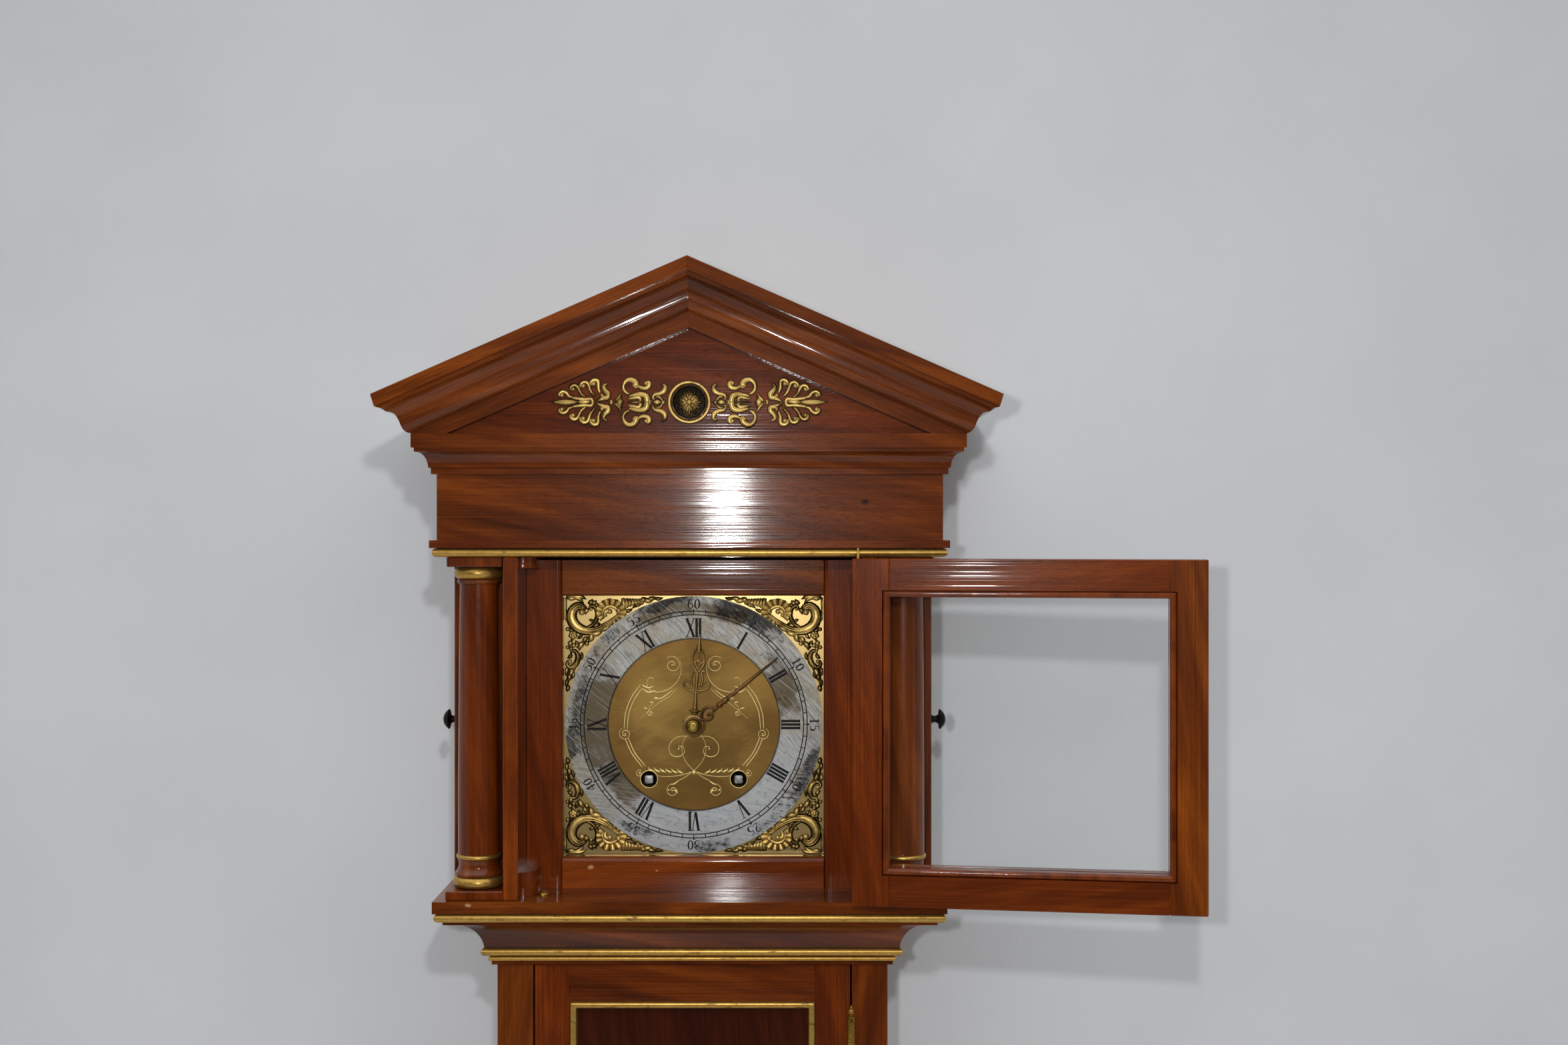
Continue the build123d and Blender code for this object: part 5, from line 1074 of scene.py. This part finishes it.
# ======== hands
def hand_relief(node, degrees):
    """An empty relief turned to a hand's place, half the hand's thickness and the face that it stands on."""
    low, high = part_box(node)
    hand = Relief()
    hand.turned(degrees)
    return hand, (high.y - low.y) / MM / 2, high.y


def hour_hand():
    """Pierced hand with a bow, a lozenge of fretwork and a long point."""
    hand, thick, face = hand_relief("hour_hand", HOUR_ANGLE)

    def bar(points):
        for side in (1, -1):
            hand.tube([(side * x, z, w) for x, z, w in points], thick / 0.9, thick)

    def rib(points):
        hand.tube(points, 0.8, thick, pieces=5)

    hand.circle(0, 0, 8.3, 1.9, thick / 1.9, thick, 10, 48)
    hand.circle(0, 0, 10.6, 0.8, 0.9, thick, 8, 48)
    rib([(0, 10.5, 3), (0, 12.2, 3.2), (0, 13.4, 5.2), (0, 14.4, 5.4), (0, 15.2, 2.4)])
    rib([(0, 15, 2.3), (0, 20, 1.9), (0, 27, 1.35), (0, 35, 1.3), (0, 44, 1.5), (0, 51, 1.1)])
    bar([(1, 31.4, 0.8), (3, 32, 0.9), (2.6, 34, 0.8)])
    bar([(0.8, 33.6, 0.8), (5, 33.4, 1.1), (10, 35.4, 1.1), (12.4, 39, 1.1), (10.6, 42.2, 1), (7, 41.8, 0.9),
          (6.4, 40.2, 0.8)])
    bar([(2.2, 38.2, 0.8), (4.4, 38.4, 1.2), (5.2, 41.4, 1.1), (5.4, 46, 0.9), (4, 50, 0.9),
         (5.4, 52.6, 0.8), (7.4, 51.6, 0.8)])
    bar([(0, 50.2, 0.9), (2.8, 54, 0.9), (5.6, 59, 1), (5.6, 64, 0.9), (4, 70.4, 0.8)])
    bar([(0, 53.8, 0.6), (1.4, 57, 0.6), (2.6, 59.6, 0.7), (1.4, 62, 0.6), (0, 60.6, 0.6)])
    bar([(2.6, 59.8, 0.6), (4.4, 60.6, 0.6), (5.4, 62, 0.6)])
    bar([(0, 61.4, 0.7), (0.6, 66, 0.6), (0.2, 70, 0.7)])
    rib([(-4.6, 71.4, 0.8), (0, 70.6, 1.1), (4.6, 71.4, 0.8)])
    bar([(3.6, 71.2, 0.7), (4.6, 73.4, 0.5)])
    rib([(0, 71, 3), (0, 74, 2.5), (0, 79, 1.4), (0, 85, 0.9), (0, 88, 0.35)])
    hand.build("hour_hand_pierced", hand_brass, "hour_train", "hand_brass", face_y=face, z=dial_z,
               replaces=("hour_hand",))


def minute_hand():
    """A scroll, a turned knop and a long plain taper."""
    hand, thick, face = hand_relief("minute_hand", MINUTE_ANGLE)

    def rib(points):
        hand.tube(points, 0.85, thick)

    hand.circle(0, 0, 6.6, 1.7, thick / 1.7, thick, 10, 48)
    rib([(0, 7.6, 1.2), (0.6, 10.6, 1.1), (3, 12.6, 1.2), (5, 16.2, 1.3), (4.2, 20, 1.2), (1.4, 20.6, 1),
         (0.2, 18.2, 0.9), (1.6, 16.6, 0.8)])
    rib([(0.6, 10.6, 1), (-3.6, 13, 1.1), (-6.2, 18, 1.2), (-4.6, 23.4, 1.2), (-0.8, 25.6, 1.3),
         (1.2, 23.8, 1.1), (0.6, 22.4, 0.8)])
    hand.ball(0.9, 18, 1.3, 0.8, thick)
    rib([(-2.2, 25.2, 1.2), (0, 26.6, 1.6), (0, 29.6, 1.3), (0, 31, 2.4), (0, 33, 2.6), (0, 35.4, 1.8),
         (0, 37.4, 2.5), (0, 40.4, 2.4), (0, 42.6, 1.5)])
    for z in (30.2, 36.2, 41.8):
        rib([(-1.9, z, 0.6), (0, z + 0.5, 0.8), (1.9, z, 0.6)])
    rib([(0, 42, 1.7), (0, 58, 1.6), (0, 80, 1.25), (0, 103.6, 0.6)])
    hand.build("minute_hand_scrolled", hand_brown, "centre_train", "hand_brass", face_y=face, z=dial_z,
               replaces=("minute_hand",))


# ======== winding squares, gut lines and studs
def winding_square(train, side):
    """The square end of a winding arbor, its corners rounded by the key."""
    square = Relief()
    rings = []
    for half, height in ((4.1, -4), (4.1, 1.9), (3.7, 2.3), (1, 2.45)):
        ring = []
        for angle in full_turn(32):
            reach = half / max(abs(math.cos(angle)), abs(math.sin(angle)))
            ring.append(square.vertex(*around(0, 0, min(reach, 1.22 * half), angle), height))
        rings.append(ring)
    skin(square.face, rings)
    square.build(f"winding_square_{train}", steel, f"{train}_drum", "steel",
                 side * WINDING_X * MM, plate_face, WINDING_Z * MM, smooth=False)


def gut_cords(name, body, runs, sides=10, replaces=()):
    """Closed cords of gut along lists of points in metres, as one piece."""
    mesh = bmesh.new()
    for points in runs:
        rings = []
        for index, point in enumerate(points):
            along = (points[min(index + 1, len(points) - 1)] - points[max(index - 1, 0)]).normalized()
            across = along.cross(Vector((0, 1, 0)) if abs(along.y) < 0.9 else Vector((1, 0, 0))).normalized()
            other = along.cross(across)
            rings.append([
                mesh.verts.new(point + GUT_RADIUS * MM * (math.cos(turn) * across + math.sin(turn) * other))
                for turn in full_turn(sides)
            ])
        skin(mesh.faces.new, rings)
    cords = add_piece(name, mesh, gut, body, replaces)
    cords.data.polygons.foreach_set("use_smooth", [len(face.vertices) == 4 for face in cords.data.polygons])
    return cords


def gut_line(train, side):
    """Both falls of one line, built at the length of the model's line (in the clock they shorten as its
    weight is wound up), and the turns round its drum.
    """
    low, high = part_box(f"line_{train}")
    radius = GUT_RADIUS * MM
    y = (low.y + high.y) / 2
    length = high.z - low.z
    steps = 12
    falls = [[Vector((x, y, low.z + length * step / steps)) for step in range(steps + 1)]
             for x in (low.x + radius, high.x - radius)]
    line = gut_cords(f"gut_falls_{train}", "case", falls, replaces=(f"line_{train}",))
    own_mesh(line)

    winding = Vector((side * WINDING_X * MM, 0, WINDING_Z * MM))
    reach = DRUM_RADIUS * MM + radius
    outer = winding.x + side * reach
    anchor = winding.x - side * reach
    gut_cords(f"gut_rise_{train}", "case", [
        [Vector((outer, y, z)) for z in (high.z, (high.z + winding.z) / 2, winding.z)],
        [Vector((anchor, y, z)) for z in (high.z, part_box("seat_board")[1].z + 0.004)],
    ])
    turns, steps = 7, 32
    coil = []
    for step in range(turns * steps + 1):
        x, z = around(0, 0, reach, TAU * step / steps)
        along = y + 2.1 * radius * (step / steps - turns / 2)
        coil.append(winding + Vector((side * x, along, z)))
    gut_cords(f"gut_turns_{train}", f"{train}_drum", [coil], 8)


SILL_STUD = (-0.1395, -0.087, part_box("hood_sill")[1].z)
BUTTON = (-0.1548, -0.120, 1.575)  # with the hood door shut


def studs():
    """A brass dome on the sill, which stops the closed door, and the button that overhangs its free edge."""
    def dome(name, radius, material, body, slot, place):
        relief = Relief()
        relief.ball(0, 0, radius, 0.62)
        relief.build(name, material, body, slot).data.transform(place)

    upright = Matrix.Rotation(-math.pi / 2, 4, "X")
    dome("sill_stud", 6.2, old_brass, "hood", "antique_brass", Matrix.Translation(SILL_STUD) @ upright)
    hinge = joints["hood_door_hinge"]
    pivot = Matrix.Translation(hinge["pos_m"])
    opened = pivot @ Matrix.Rotation(-math.radians(hinge["range_deg"][0]), 4, "Z") @ pivot.inverted()
    dome("door_button", 6, bronze, "hood_door", "dark_bronze", opened @ Matrix.Translation(BUTTON))


TRAINS = (("going", 1), ("strike", -1))
for train in TRAINS:
    winding_square(*train)
for train in TRAINS:
    gut_line(*train)
studs()
chapter_work()
engraving()
spandrels()
mount()
hour_hand()
minute_hand()


# ======== camera, room and lamps
LENS = 40.41                 # millimetres, on a sensor 36 mm wide
CAMERA_X = 0.087             # metres, as all that follows
CAMERA_Y = -1.742
CAMERA_RISE = 0.195          # above the dial's centre
ROOM_REACH = 4
WALL_GAP = 0.006
BACKGROUND_LEVEL = 0.62      # of the world that the camera sees past the wall
CEILING_LEVEL = 1.1
SIDE_LEVEL = 0.36
DARK_LEVEL = 0.03


def camera():
    data = bpy.data.cameras.new("camera")
    data.sensor_width = 36
    data.lens = LENS
    obj = add_object("camera", data)
    obj.location = (CAMERA_X, CAMERA_Y, dial_z + CAMERA_RISE)
    obj.rotation_euler = (math.radians(90), 0, 0)
    bpy.context.scene.camera = obj


def stage_plane(name, near, far, material):
    """A wide face from its near edge, given by y and z, to its far edge."""
    left, right = -ROOM_REACH, ROOM_REACH
    mesh = bpy.data.meshes.new(name)
    mesh.from_pydata([(left, *near), (right, *near), (right, *far), (left, *far)], [], [(0, 1, 2, 3)])
    mesh.materials.append(material)
    add_object(name, mesh)


def pale_surface(name, colour, one_sided=False):
    """Plain painted plaster. One-sided, it shows from the front only and lets light through elsewhere."""
    plaster = Shader(name, roughness=0.6)
    mottle = plaster.band(plaster.noise(plaster.place(), 5, 3), 0.3, 0.7, 0, 0.10)
    plaster.set(base_color=plaster.mix(mottle, colour, (150, 154, 160)))
    plaster.bump(plaster.noise(plaster.place(), 260, 3), 0.0006, 0.35)
    if one_sided:
        rays = plaster.node("ShaderNodeLightPath").outputs
        seen = plaster.plus(rays["Is Camera Ray"], rays["Is Glossy Ray"])
        seen = plaster.plus(seen, rays["Is Transmission Ray"], clamp=True)
        front = plaster.minus(1, plaster.node("ShaderNodeNewGeometry").outputs["Backfacing"])
        clear = plaster.node("ShaderNodeBsdfTransparent").outputs[0]
        plaster.show(plaster.times(seen, front), clear, plaster.surface.outputs[0])
    return plaster.material


def room():
    floor = pale_surface("pale_floor", (190, 188, 184))
    stage_plane("floor", (-ROOM_REACH, 0), (ROOM_REACH, 0), floor)
    y = wall_y + WALL_GAP
    wall = pale_surface("pale_wall", (199, 202, 206), one_sided=True)
    stage_plane("wall", (y, 0), (y, ROOM_REACH), wall)


def lamp(name, place, aim, watts, width):
    """A square lamp, width across."""
    data = bpy.data.lights.new(name, "AREA")
    data.shape = "RECTANGLE"
    data.size = data.size_y = width
    data.energy = watts
    obj = add_object(name, data)
    obj.location = place
    obj.rotation_euler = (Vector(aim) - Vector(place)).to_track_quat("-Z", "Y").to_euler()
    return obj


def lamps():
    """A small flash beside the camera and a lamp above it, in a room with a pale ceiling and side walls."""
    lamp("flash", (-0.019, CAMERA_Y, 1.807), (0, 0, 1.72), 7.6, 0.036)
    lamp("upper_lamp", (0.134, CAMERA_Y, 2.12), (0.05, 0, 1.72), 8.5, 0.05).visible_glossy = False
    world = bpy.data.worlds.new("world")
    bpy.context.scene.world = world
    world.use_nodes = True
    light = Nodes(world.node_tree)
    direction = light.split(light.node("ShaderNodeTexCoord").outputs["Generated"])
    ceiling = light.band(direction["Z"], 0.12, 0.75, 0, CEILING_LEVEL)
    sides = light.band(direction["Y"], -0.93, -0.4, DARK_LEVEL, SIDE_LEVEL)
    seen = light.node("ShaderNodeLightPath").outputs["Is Camera Ray"]
    strength = light.between(seen, light.plus(ceiling, sides), BACKGROUND_LEVEL)
    background = light.tree.nodes["Background"].inputs
    background["Color"].default_value = (1, 1, 1, 1)
    light.tree.links.new(strength, background["Strength"])


camera()
room()
lamps()
bpy.context.scene.view_settings.view_transform = "Standard"
